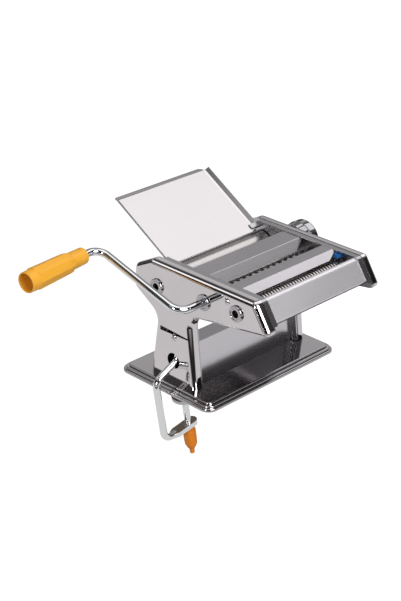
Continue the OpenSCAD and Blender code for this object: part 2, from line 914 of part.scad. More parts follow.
module regulator_shaft() {
    towards_fixed = throw * [cos(nip_tilt), -sin(nip_tilt)];
    color("silver") {
        bar(adjust_at + towards_fixed, cam_r, cam_in, cam_in + cam_t);
        bar(adjust_at, regulator_r, cam_in + 1, knob_in - 0.5);
        translate([knob_in - 1, adjust_at[0] - shank / 2, adjust_at[1] - shank / 2])
            cube([retainer_in - knob_in + 1, shank, shank]);
    }
}

module knob_retainer() {
    color("silver") bar(adjust_at, cavity_r - 1, retainer_in, retainer_in + retainer_t);
}

module regulator_knob() {
    skirt_r = knob_d / 2 - 1;
    hole = shank + 2 * fit;
    color("gainsboro") difference() {
        union() {
            bar(adjust_at, skirt_r, knob_in, knob_in + skirt_len);
            bar(adjust_at, knob_d / 2, knob_in + skirt_len, knob_out - cap_t);
        }
        for (i = [0 : knob_flutes - 1]) let (a = i * 360 / knob_flutes)
            bar(adjust_at + (skirt_r + 0.6) * [cos(a), sin(a)], 1.6, knob_in - 1, knob_in + skirt_len);
        translate([knob_in - 1, adjust_at[0] - hole / 2, adjust_at[1] - hole / 2])
            cube([web_out - knob_in + 2, hole, hole]);
        bar(adjust_at, cavity_r, web_out, knob_out);
        difference() {
            bar(adjust_at, pin_ring + pin_r + 0.5, knob_in - 1, knob_in + 3);
            bar(adjust_at, pin_ring - pin_r - 0.5, knob_in - 2, knob_in + 4);
        }
    }
}

module knob_cap() {
    rim = knob_d / 2;
    profile = [[0, 0], [rim, 0], [rim, 1], [rim - 0.8, 2.6], [rim - 3, cap_t - 0.6],
        [rim - 6, cap_t], [0, cap_t]];
    color("gainsboro") {
        translate([knob_out - cap_t, adjust_at[0], adjust_at[1]]) rotate([0, 90, 0])
            rotate_extrude() polygon(profile);
        bar(adjust_at, cavity_r - fit, knob_out - cap_t - 1.2, knob_out - cap_t + 0.5);
    }
}

// Coil spring as one tube of six sides swept along a helix
function spring_point(t, a) =
    let (x0 = web_out + air + spring_wire / 2, x1 = retainer_in - air - spring_wire / 2)
    let (turn = 360 * spring_turns * t, r = spring_r + spring_wire / 2 * cos(a))
    [x0 + (x1 - x0) * t + spring_wire / 2 * sin(a), r * cos(turn), r * sin(turn)];

module knob_spring() {
    sides = 6;
    rings = 8 * spring_turns;
    points = [for (i = [0 : rings], k = [0 : sides - 1]) spring_point(i / rings, k * 360 / sides)];
    walls = [for (i = [0 : rings - 1], k = [0 : sides - 1]) let (n = (k + 1) % sides)
        each [[i * sides + k, i * sides + n, (i + 1) * sides + n],
              [i * sides + k, (i + 1) * sides + n, (i + 1) * sides + k]]];
    last = rings * sides;
    ends = [for (k = [1 : sides - 2]) each [[0, k + 1, k], [last, last + k, last + k + 1]]];
    color("dimgray") translate([0, adjust_at[0], adjust_at[1]]) polyhedron(points, concat(walls, ends));
}

// Rod bent in the X Z plane, each length and bend placed at the end of the one before
function heading(path, i) = atan2(path[i + 1][0] - path[i][0], path[i + 1][1] - path[i][1]);

function turn_at(path, i) = (heading(path, i) - heading(path, i - 1) + 540) % 360 - 180;

function bend_cut(path, i, bend_r) =
    i == 0 || i == len(path) - 1 ? 0 : bend_r * tan(abs(turn_at(path, i)) / 2);

module rod_bend(turn, bend_r, r) {
    side = sign(turn);
    translate([side * bend_r, 0, 0]) rotate([90, 0, 0]) rotate([0, 0, turn > 0 ? 180 - turn : 0])
        rotate_extrude(angle = abs(turn)) translate([bend_r, 0]) circle(r);
}

module rod_from(path, i, bend_r, r) {
    straight = norm(path[i + 1] - path[i]) - bend_cut(path, i, bend_r) - bend_cut(path, i + 1, bend_r);
    from_lap = i == 0 ? 0 : bend_lap;
    to_lap = i == len(path) - 2 ? 0 : bend_lap;
    translate([0, 0, -from_lap]) cylinder(r = r, h = straight + from_lap + to_lap);
    if (i < len(path) - 2) {
        turn = turn_at(path, i + 1);
        shift = sign(turn) * bend_r;
        translate([0, 0, straight]) {
            rod_bend(turn, bend_r, r + bend_swell);
            translate([shift, 0, 0]) rotate([0, turn, 0]) translate([-shift, 0, 0])
                rod_from(path, i + 1, bend_r, r);
        }
    }
}

module bent_rod(path, bend_r, r) {
    translate([path[0][0], 0, path[0][1]]) rotate([0, heading(path, 0), 0]) rod_from(path, 0, bend_r, r);
}

// Crank, drawn in a plane that holds X and the arm
module at_crank() {
    translate([0, wide_at[0], wide_at[1]]) rotate([crank_angle - 90, 0, 0]) children();
}

module at_grip() {
    at_crank() translate([arm_x, 0, crank_arm]) rotate([0, -90 - grip_lean, 0]) children();
}

module crank_rod() {
    corner = [arm_x, crank_arm];
    rod_end = grip_start + grip_hold + air + washer_t;
    path = [[socket_end - 1, 0], [arm_x, 0], corner, corner + rod_end * grip_bend];
    color("gainsboro") {
        at_crank() bent_rod(path, crank_bend, crank_r);
        translate([socket_end - 1.5, wide_at[0] - crank_r * 0.8, wide_at[1] - tongue_w / 2])
            cube([tongue_len + 1, 1.6 * crank_r, tongue_w]);
    }
}

module grip_washer() {
    color("silver") at_grip() translate([0, 0, grip_start + grip_hold + air]) difference() {
        cylinder(r = washer_r, h = washer_t);
        translate([0, 0, -1]) cylinder(r = crank_r, h = washer_t + 2);
    }
}

module crank_grip() {
    r = grip_d / 2;
    neck = r - neck_step;
    body = neck_len + shoulder_len;
    body_end = grip_len - collar_len;
    color("orange") at_grip() translate([0, 0, grip_start]) difference() {
        union() {
            cylinder(r1 = neck, r2 = neck + 0.5, h = neck_len);
            translate([0, 0, neck_len - 0.5])
                cylinder(r1 = neck + 0.5, r2 = r - flat_step, h = shoulder_len + 1);
            translate([0, 0, body]) cylinder(r = r, h = body_end - body, $fn = 8);
            translate([0, 0, body_end - 0.5])
                cylinder(r1 = r - flat_step, r2 = r - collar_step, h = collar_len + 0.5);
        }
        translate([0, 0, -1]) cylinder(r = crank_r + fit, h = grip_hold + 2);
        translate([0, 0, grip_hold]) cylinder(r = washer_r + air, h = grip_len);
    }
}

// Clamp, drawn upright with its hook at the origin
module at_clamp() {
    translate([-cover_out, clamp_y, hook_h]) rotate([0, -clamp_lean, 0]) children();
}

module clamp_frame() {
    drop = clamp_reach * tan(hook_slope);
    rise = hook_in * tan(hook_slope);
    path = [[hook_in, rise + hook_up], [hook_in, rise], [-clamp_reach, -drop],
        [-clamp_reach, -clamp_depth], [-clamp_reach + 16, -clamp_depth]];
    color("whitesmoke") at_clamp() {
        bent_rod(path, clamp_bend, clamp_r);
        difference() {
            translate([-clamp_reach + 12, 0, -clamp_depth - arm_t / 2]) linear_extrude(arm_t) {
                translate([0, -arm_w / 2]) square([clamp_arm - 12 - arm_w / 2, arm_w]);
                translate([clamp_arm - 12 - arm_w / 2, 0]) circle(arm_w / 2);
            }
            translate([screw_x, 0, -clamp_depth - arm_t]) cylinder(r = screw_r + fit, h = 2 * arm_t);
        }
    }
}

module clamp_pad() {
    color("dimgray") at_clamp() translate([screw_x, 0, -pad_top - pad_t]) difference() {
        cylinder(r = pad_d / 2, h = pad_t);
        translate([0, 0, -1]) cylinder(r = screw_r + fit, h = pad_t - pad_floor + air + 1);
    }
}

module clamp_screw() {
    tip = -pad_top - pad_floor;
    collar = -pad_top - pad_t - air;
    low = -thumb_top - 0.6 * thumb_len;
    color("whitesmoke") at_clamp() translate([screw_x, 0, 0]) {
        translate([0, 0, low]) cylinder(r = screw_r, h = tip - low);
        translate([0, 0, collar - collar_t]) cylinder(r = screw_r + 0.85 * collar_t, h = collar_t);
    }
}

module clamp_thumb() {
    round_r = 3;
    low = -thumb_top - thumb_len;
    profile = [[0, low - tip_len], [2, low - tip_len], [3, low - tip_len + 1.5], [3, low],
        [thumb_r - round_r, low], [thumb_r - 0.8, low + 0.8 * round_r], [thumb_r, low + 2 * round_r],
        [thumb_r, -thumb_top], [0, -thumb_top]];
    color("darkorange") at_clamp() translate([screw_x, 0, 0]) difference() {
        rotate_extrude() polygon(profile);
        translate([0, 0, -thumb_top - 0.6 * thumb_len]) cylinder(r = screw_r, h = thumb_len);
    }
}

base_shell();
base_board();
base_screws();
side_cover_crank();
side_cover_knob();
inner_frame_crank();
inner_frame_knob();
cover_posts();
cover_screws();
tie_rods();
tie_nuts();
front_panel();
guide_plate_rear();
guide_plate_front();
front_cover();
throat_cheeks();
tray_rests();
drive_rings();
roller_bushes();
wide_bushes();
narrow_bushes();
wide_combs();
narrow_combs();
roller_scraper();
regulator_bush();
index_pin();
smooth_roller();
smooth_gear();
adjustable_roller();
adjustable_gear();
gap_block_crank();
gap_block_knob();
gap_scraper();
regulator_shaft();
knob_retainer();
regulator_knob();
knob_cap();
knob_spring();
wide_drive_roller();
wide_drive_gear();
wide_counter_roller();
wide_counter_gear();
narrow_drive_roller();
narrow_drive_gear();
narrow_counter_roller();
narrow_counter_gear();
crank_rod();
grip_washer();
crank_grip();
feed_tray();
clamp_frame();
clamp_pad();
clamp_screw();
clamp_thumb();
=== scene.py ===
"""Looks of a hand-cranked pasta machine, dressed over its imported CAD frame.

Lengths in the classes are millimetres, in the part's own frame: X runs along the rollers with the
crank at minus X, plus Y is the feed tray's side and Z is up.
"""
import json
import logging
import math
from dataclasses import dataclass
from enum import Enum
from typing import Callable, Sequence, Union

import bmesh
import bpy
from mathutils import Matrix, Vector


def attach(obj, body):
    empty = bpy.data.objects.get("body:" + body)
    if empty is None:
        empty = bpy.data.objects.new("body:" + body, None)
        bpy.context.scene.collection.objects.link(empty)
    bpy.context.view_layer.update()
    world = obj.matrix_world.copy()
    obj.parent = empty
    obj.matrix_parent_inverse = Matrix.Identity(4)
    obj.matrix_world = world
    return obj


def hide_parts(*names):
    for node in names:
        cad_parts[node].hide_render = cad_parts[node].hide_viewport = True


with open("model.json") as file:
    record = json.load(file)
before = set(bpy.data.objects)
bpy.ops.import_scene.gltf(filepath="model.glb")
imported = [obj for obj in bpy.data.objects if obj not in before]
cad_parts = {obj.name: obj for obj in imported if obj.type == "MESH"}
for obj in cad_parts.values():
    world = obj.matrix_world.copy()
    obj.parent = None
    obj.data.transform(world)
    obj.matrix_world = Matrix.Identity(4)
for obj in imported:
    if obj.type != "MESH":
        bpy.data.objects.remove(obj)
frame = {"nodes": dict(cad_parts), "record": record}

LOG = logging.getLogger("pasta_machine")
MM = 0.001
Corner = tuple[float, float, float]
Colour = tuple[float, float, float]

# Places that several classes share, as Y and Z
FIXED_ROLLER = (23.0, 112.6)
ADJUST_ROLLER = (-8.0608, 118.4129)
WIDE_CUTTER = (-45.5608, 117.8755)
NARROW_CUTTER = (-91.8608, 121.4381)
COVER_SCREWS = ((-78.7608, 130.7), (-3.0, 62.1))
FRAME_INSIDE = 75.5
COVER_OUTLINE = ((32.5, 141.0, 7.0), (-115.8608, 141.0, 7.0), (-136.8608, 109.0, 4.0), (-24.0, 92.0, 14.0),
                 (-34.0, 8.5, 0.0), (34.0, 8.5, 0.0), (24.0, 79.0, 16.0), (59.5, 101.0, 7.0), (58.5, 127.5, 7.0))
FOOT_CORNER = 4


def mm(x: float, y: float, z: float) -> Vector:
    """A point given in millimetres, as a vector in metres."""
    return Vector((x, y, z)) * MM


def everywhere(_: Vector) -> bool:
    """A test that every part of a mesh passes."""
    return True


def corner_arc(before: Vector, at: Vector, after: Vector, radius: float, steps: int) -> list[Vector]:
    """Points of one rounded corner.

    Args:
        before: The corner before this one.
        at: The corner itself.
        after: The corner after this one.
        radius: Radius of the arc, or 0 for a sharp corner.
        steps: Lengths that the arc is divided into.

    Returns:
        The corner alone, or the points of its arc.
    """
    if radius <= 0:
        return [at]
    a, b = (before - at).normalized(), (after - at).normalized()
    half = a.angle(b) / 2
    middle = at + (a + b).normalized() * radius / math.sin(half)
    start = at + a * radius / math.tan(half) - middle
    end = at + b * radius / math.tan(half) - middle
    first = math.atan2(start.y, start.x)
    turn = (math.atan2(end.y, end.x) - first + 3 * math.pi) % (2 * math.pi) - math.pi
    angles = [first + turn * i / steps for i in range(steps + 1)]
    return [middle + radius * Vector((math.cos(t), math.sin(t))) for t in angles]


def rounded(corners: Sequence[Corner], steps: int, closed: bool = True) -> list[Vector]:
    """Outline or open path with its corners rounded.

    Args:
        corners: Each corner as two places and a radius.
        steps: Lengths that each arc is divided into.
        closed: Whether the last corner joins the first.

    Returns:
        The points of the outline, in order.
    """
    flat = [Vector(c[:2]) for c in corners]
    count = len(flat)
    points: list[Vector] = []
    for i, corner in enumerate(corners):
        end = not closed and i in (0, count - 1)
        radius = 0.0 if end else corner[2]
        points += corner_arc(flat[i - 1], flat[i], flat[(i + 1) % count], radius, steps)
    return points


def drawn_in(corners: Sequence[Corner], inset: float, foot: float) -> list[Corner]:
    """The side covers' outline drawn in, with its radii kept concentric.

    Args:
        corners: Each corner as two places and a radius.
        inset: Distance that the edges move inwards.
        foot: Distance that the foot's edge moves instead.

    Returns:
        The corners of the smaller outline.
    """
    flat = [Vector(c[:2]) for c in corners]
    count = len(flat)
    smaller: list[Corner] = []
    for i, (at, (_, _, radius)) in enumerate(zip(flat, corners)):
        here, there = at - flat[i - 1], flat[(i + 1) % count] - at
        u, v = (Vector((-w.y, w.x)).normalized() for w in (here, there))
        before = foot if i == FOOT_CORNER + 1 else inset
        after = foot if i == FOOT_CORNER else inset
        k = u.dot(v)
        moved = at + (u * (before - after * k) + v * (after - before * k)) / (1 - k * k)
        grown = radius - inset if here.cross(there) > 0 else radius + inset
        smaller.append((moved.x, moved.y, max(grown, 1.0) if radius else 0.0))
    return smaller


class Pick(Enum):
    """What an edit-mode selection is made of."""

    POINT = "VERT"
    EDGE = "EDGE"
    FACE = "FACE"


class Val:
    """A shader socket that takes part in Python expressions."""

    def __init__(self, tree: bpy.types.NodeTree, socket: bpy.types.NodeSocket) -> None:
        """Keeps the socket and the tree that it is in."""
        self.tree = tree
        self.socket = socket

    def _math(self, operation: str, first: "Number", second: "Number") -> "Val":
        """Adds one Math node.

        Args:
            operation: The Math node's operation.
            first: Its first value.
            second: Its second value.

        Returns:
            The node's result.
        """
        node = self.tree.nodes.new("ShaderNodeMath")
        node.operation = operation
        for socket, value in zip(node.inputs, (first, second)):
            if isinstance(value, Val):
                self.tree.links.new(value.socket, socket)
            else:
                socket.default_value = value
        return Val(self.tree, node.outputs[0])

    def __add__(self, other: "Number") -> "Val":
        """This value plus another."""
        return self._math("ADD", self, other)

    def __radd__(self, other: "Number") -> "Val":
        """Another value plus this one."""
        return self._math("ADD", other, self)

    def __sub__(self, other: "Number") -> "Val":
        """This value minus another."""
        return self._math("SUBTRACT", self, other)

    def __rsub__(self, other: "Number") -> "Val":
        """Another value minus this one."""
        return self._math("SUBTRACT", other, self)

    def __mul__(self, other: "Number") -> "Val":
        """This value times another."""
        return self._math("MULTIPLY", self, other)

    def __rmul__(self, other: "Number") -> "Val":
        """Another value times this one."""
        return self._math("MULTIPLY", other, self)

    def __pow__(self, other: "Number") -> "Val":
        """This value to a power."""
        return self._math("POWER", self, other)

    def __or__(self, other: "Number") -> "Val":
        """The larger of this value and another."""
        return self._math("MAXIMUM", self, other)


Number = Union[Val, float]


class Recipe:
    """A node tree while its nodes are written."""

    def __init__(self, tree: bpy.types.NodeTree) -> None:
        """Starts with an empty tree."""
        self.tree = tree
        tree.nodes.clear()

    def node(self, kind: str, settings: dict | None = None, inputs: dict | None = None,
             output: int | str = 0) -> Val:
        """Adds one node.

        Args:
            kind: The node's type.
            settings: Its own settings, set first; stops gives a colour ramp's stops.
            inputs: Values or links of its sockets, by name or number.
            output: The socket to return.

        Returns:
            The chosen output.
        """
        node = self.tree.nodes.new(kind)
        for name, value in (settings or {}).items():
            if name == "stops":
                self._stops(node.color_ramp, value)
            else:
                setattr(node, name, value)
        for name, value in (inputs or {}).items():
            if isinstance(value, Val):
                self.tree.links.new(value.socket, node.inputs[name])
            else:
                node.inputs[name].default_value = value
        return Val(self.tree, node.outputs[output] if node.outputs else None)

    @staticmethod
    def _stops(ramp: bpy.types.ColorRamp, stops: Sequence[tuple[float, Colour]]) -> None:
        """Sets a colour ramp's stops.

        Args:
            ramp: The ramp, which has two stops to begin with.
            stops: Each stop's place and colour.
        """
        while len(ramp.elements) < len(stops):
            ramp.elements.new(0.5)
        for element, (place, colour) in zip(ramp.elements, stops):
            element.position = place
            element.color = (*colour, 1.0)

    def place(self, scale: Colour = (1.0, 1.0, 1.0), turn: Colour = (0.0, 0.0, 0.0)) -> Val:
        """Object coordinates, stretched and turned.

        Args:
            scale: Stretch along X, Y and Z.
            turn: Turn about X, Y and Z in degrees.

        Returns:
            The mapped coordinates.
        """
        here = self.node("ShaderNodeTexCoord", output="Object")
        angles = tuple(math.radians(t) for t in turn)
        return self.node("ShaderNodeMapping", inputs={"Vector": here, "Rotation": angles, "Scale": scale})

    def noise(self, where: Val, scale: float, detail: float = 3.0) -> Val:
        """Cloudy values about one half.

        Args:
            where: The coordinates.
            scale: Clouds per metre.
            detail: Octaves.

        Returns:
            The noise's value.
        """
        return self.node("ShaderNodeTexNoise",
                         inputs={"Vector": where, "Scale": scale, "Detail": detail, "Roughness": 0.55})

    def blend(self, share: Number, first: "Colour | Val", second: "Colour | Val") -> Val:
        """Two colours mixed.

        Args:
            share: Share of the second colour.
            first: The first colour.
            second: The second colour.

        Returns:
            The mixed colour.
        """
        colours = [(*c, 1.0) if isinstance(c, tuple) else c for c in (first, second)]
        return self.node("ShaderNodeMix", {"data_type": "RGBA"},
                         {"Factor": share, 6: colours[0], 7: colours[1]}, 2)

    def bump(self, height: Val, depth: float, strength: float = 1.0) -> Val:
        """A normal from a height.

        Args:
            height: The height, from 0 to 1.
            depth: What a height of 1 stands for, in millimetres.
            strength: Share of the effect.

        Returns:
            The normal.
        """
        return self.node("ShaderNodeBump", inputs={"Height": height, "Distance": depth * MM,
                                                   "Strength": strength})


def shade(colour: Colour, by: float) -> Colour:
    """A colour made lighter or darker by a factor."""
    return tuple(min(c * by, 1.0) for c in colour)


@dataclass(frozen=True)
class Finish:
    """A finish that makes one procedural material."""

    name: str
    colour: Colour

    def material(self) -> bpy.types.Material:
        """The finish's material, made at its first use.

        Returns:
            The material.
        """
        made = bpy.data.materials.get(self.name)
        if made is None:
            made = bpy.data.materials.new(self.name)
            made.use_nodes = True
            recipe = Recipe(made.node_tree)
            surface = recipe.node("ShaderNodeBsdfPrincipled", inputs=self.sockets(recipe))
            recipe.node("ShaderNodeOutputMaterial", inputs={"Surface": surface})
        return made

    def sockets(self, recipe: Recipe) -> dict:
        """What each socket of the surface gets; every finish gives its own."""
        raise NotImplementedError


@dataclass(frozen=True)
class PolishedChrome(Finish):
    """Plated and polished sheet, with a little haze and the ripple of the press."""

    gloss: float = 0.04
    haze: float = 0.05
    ripple: float = 0.008

    def sockets(self, recipe: Recipe) -> dict:
        """Haze comes in clouds, with finer wipe marks in it.

        Args:
            recipe: The material's nodes.

        Returns:
            Values and links of the surface's sockets.
        """
        here = recipe.place()
        cloud = recipe.noise(here, 28.0, 2.0)
        wipe = recipe.noise(recipe.place((40.0, 260.0, 90.0), (0, 24, 31)), 1.0, 4.0)
        return {"Base Color": recipe.blend(cloud, shade(self.colour, 0.93), shade(self.colour, 1.04)),
                "Metallic": 1.0,
                "Roughness": self.gloss + self.haze * cloud * wipe,
                "Normal": recipe.bump(recipe.noise(here, 22.0, 1.0), self.ripple)}


@dataclass(frozen=True)
class BrushedSteel(Finish):
    """Rolled stainless sheet with fine lines along its grain."""

    along: str = "x"
    gloss: float = 0.24
    lines: float = 0.06

    def sockets(self, recipe: Recipe) -> dict:
        """Fine lines along the grain, and faint stains across it.

        Args:
            recipe: The material's nodes.

        Returns:
            Values and links of the surface's sockets.
        """
        stretch = tuple(9.0 if axis == self.along else 1500.0 for axis in "xyz")
        grain = recipe.noise(recipe.place(stretch), 1.0, 2.0)
        stain = recipe.noise(recipe.place(), 16.0, 3.0)
        tone = grain * 0.5 + stain * 0.5
        return {"Base Color": recipe.blend(tone, shade(self.colour, 0.95), shade(self.colour, 1.04)),
                "Metallic": 1.0,
                "Roughness": self.gloss + self.lines * grain - 0.06 * stain,
                "Normal": recipe.bump(grain, 0.0008)}


@dataclass(frozen=True)
class MouldedPlastic(Finish):
    """Moulded plastic with the faint orange-peel of its mould."""

    deep: Colour = (0.0, 0.0, 0.0)
    gloss: float = 0.34

    def sockets(self, recipe: Recipe) -> dict:
        """Two tones of one colour in soft clouds, under a fine peel.

        Args:
            recipe: The material's nodes.

        Returns:
            Values and links of the surface's sockets.
        """
        here = recipe.place()
        cloud = recipe.noise(here, 45.0, 2.0)
        peel = recipe.noise(here, 900.0, 2.0)
        return {"Base Color": recipe.blend(cloud, self.deep, self.colour),
                "Roughness": self.gloss + 0.16 * cloud,
                "Normal": recipe.bump(peel, 0.03)}


@dataclass(frozen=True)
class CastBrass(Finish):
    """Turned brass, duller in patches."""

    gloss: float = 0.30

    def sockets(self, recipe: Recipe) -> dict:
        """Dull patches over turning marks.

        Args:
            recipe: The material's nodes.

        Returns:
            Values and links of the surface's sockets.
        """
        patch = recipe.noise(recipe.place(), 110.0, 4.0)
        marks = recipe.noise(recipe.place((2200.0, 30.0, 30.0)), 1.0, 1.0)
        return {"Base Color": recipe.blend(patch, shade(self.colour, 0.62), self.colour),
                "Metallic": 1.0,
                "Roughness": self.gloss + 0.2 * patch,
                "Normal": recipe.bump(marks, 0.01)}


@dataclass(frozen=True)
class PlatedCasting(Finish):
    """Zinc-plated steel, bright but uneven."""

    gloss: float = 0.16

    def sockets(self, recipe: Recipe) -> dict:
        """Spangled plating over a slightly lumpy rod.

        Args:
            recipe: The material's nodes.

        Returns:
            Values and links of the surface's sockets.
        """
        here = recipe.place()
        lumps = recipe.noise(here, 160.0, 3.0)
        spangle = recipe.noise(here, 620.0, 1.0)
        return {"Base Color": recipe.blend(spangle, shade(self.colour, 0.88), self.colour),
                "Metallic": 1.0,
                "Roughness": self.gloss + 0.12 * lumps,
                "Normal": recipe.bump(lumps, 0.01)}


@dataclass(frozen=True)
class SawnWood(Finish):
    """Sawn board with its rings cut lengthways along X."""

    dark: Colour = (0.30, 0.18, 0.09)

    def sockets(self, recipe: Recipe) -> dict:
        """Long rings with pores between them.

        Args:
            recipe: The material's nodes.

        Returns:
            Values and links of the surface's sockets.
        """
        bent = recipe.noise(recipe.place((6.0, 26.0, 26.0)), 1.0, 2.0)
        rings = recipe.node("ShaderNodeTexWave", {"bands_direction": "Y"},
                            {"Vector": recipe.place((2.0, 60.0, 40.0)), "Scale": 1.2, "Distortion": 7.0,
                             "Detail": 2.0}, "Fac")
        pores = recipe.noise(recipe.place((40.0, 1400.0, 1400.0)), 1.0, 2.0)
        tone = 0.6 * rings + 0.25 * bent + 0.15 * pores
        return {"Base Color": recipe.blend(tone, self.dark, self.colour),
                "Roughness": 0.55 + 0.25 * pores,
                "Normal": recipe.bump(pores, 0.08)}


COVER_CHROME = PolishedChrome("cover_chrome_mirror", (0.74, 0.70, 0.715), gloss=0.05, haze=0.05)
# Darker copy of the covers' chrome: the lower base colour is painted shade, a painted dark reflection on the base's
# top.
BASE_CHROME_SHADE_PAINTED = PolishedChrome("base_chrome_dark_reflection_painted", (0.50, 0.48, 0.495), gloss=0.03, haze=0.02)
# Darker copy of the covers' chrome for the knob, its cap and the bush rings: the lower base colour is painted shade.
KNOB_CHROME_SHADE_PAINTED = PolishedChrome("knob_chrome_shade_painted", (0.52, 0.51, 0.54), gloss=0.05, haze=0.05)
CRANK_CHROME = PolishedChrome("crank_chrome_bright", (0.82, 0.83, 0.85), gloss=0.06, haze=0.08)
ROLLER_CHROME = PolishedChrome("roller_chrome", (0.60, 0.57, 0.57), gloss=0.24, haze=0.10, ripple=0.0)
PLATE_STEEL = BrushedSteel("plate_steel_satin", (0.66, 0.64, 0.67), gloss=0.18)
GUIDE_STEEL = BrushedSteel("guide_steel_grey", (0.64, 0.615, 0.645), gloss=0.38)
# Much lighter copy of the plate steel for the front cover: the raised base colour is painted light.
NOSE_STEEL_LIGHT_PAINTED = BrushedSteel("nose_steel_light_painted", (0.92, 0.89, 0.93), gloss=0.46)
TRAY_STEEL = BrushedSteel("tray_steel_bright", (0.67, 0.64, 0.65), gloss=0.16, lines=0.04)
FRAME_STEEL = BrushedSteel("frame_steel_grey", (0.56, 0.55, 0.57), along="y", gloss=0.26)
HARDWARE = PlatedCasting("hardware_steel_plain", (0.58, 0.58, 0.60), gloss=0.25)
GEAR_BRASS = CastBrass("gear_brass_cut", (0.74, 0.60, 0.30))
BUSH_BRASS = CastBrass("bush_brass_turned", (0.62, 0.47, 0.25), gloss=0.26)
BLUE_PLASTIC = MouldedPlastic("blue_plastic_moulded", (0.02, 0.16, 0.45), (0.012, 0.11, 0.36), 0.30)
COMB_PLASTIC = MouldedPlastic("comb_plastic_black", (0.035, 0.033, 0.032), (0.018, 0.017, 0.016), 0.45)
GRIP_ORANGE = MouldedPlastic("grip_orange_moulded", (1.0, 0.51, 0.04), (1.0, 0.44, 0.03), 0.30)
THUMB_ORANGE = MouldedPlastic("thumb_orange_moulded", (1.0, 0.31, 0.014), (1.0, 0.27, 0.010), 0.46)
CLAMP_ZINC = PlatedCasting("clamp_zinc_plated", (0.90, 0.90, 0.90), gloss=0.06)
BASE_WOOD = SawnWood("base_wood_sawn", (0.74, 0.66, 0.56))

SLOT_FINISH: dict[str, Finish] = {
    "cover_chrome": COVER_CHROME, "base_chrome": BASE_CHROME_SHADE_PAINTED, "plate_steel": PLATE_STEEL,
    "tray_steel": TRAY_STEEL, "frame_steel": FRAME_STEEL, "roller_steel": ROLLER_CHROME,
    "hardware_steel": HARDWARE, "gear_brass": GEAR_BRASS, "bush_brass": BUSH_BRASS,
    "blue_plastic": BLUE_PLASTIC, "comb_plastic": COMB_PLASTIC, "base_wood": BASE_WOOD,
    "crank_chrome": CRANK_CHROME, "clamp_zinc": CLAMP_ZINC, "grip_orange": GRIP_ORANGE,
    "thumb_orange": THUMB_ORANGE,
}


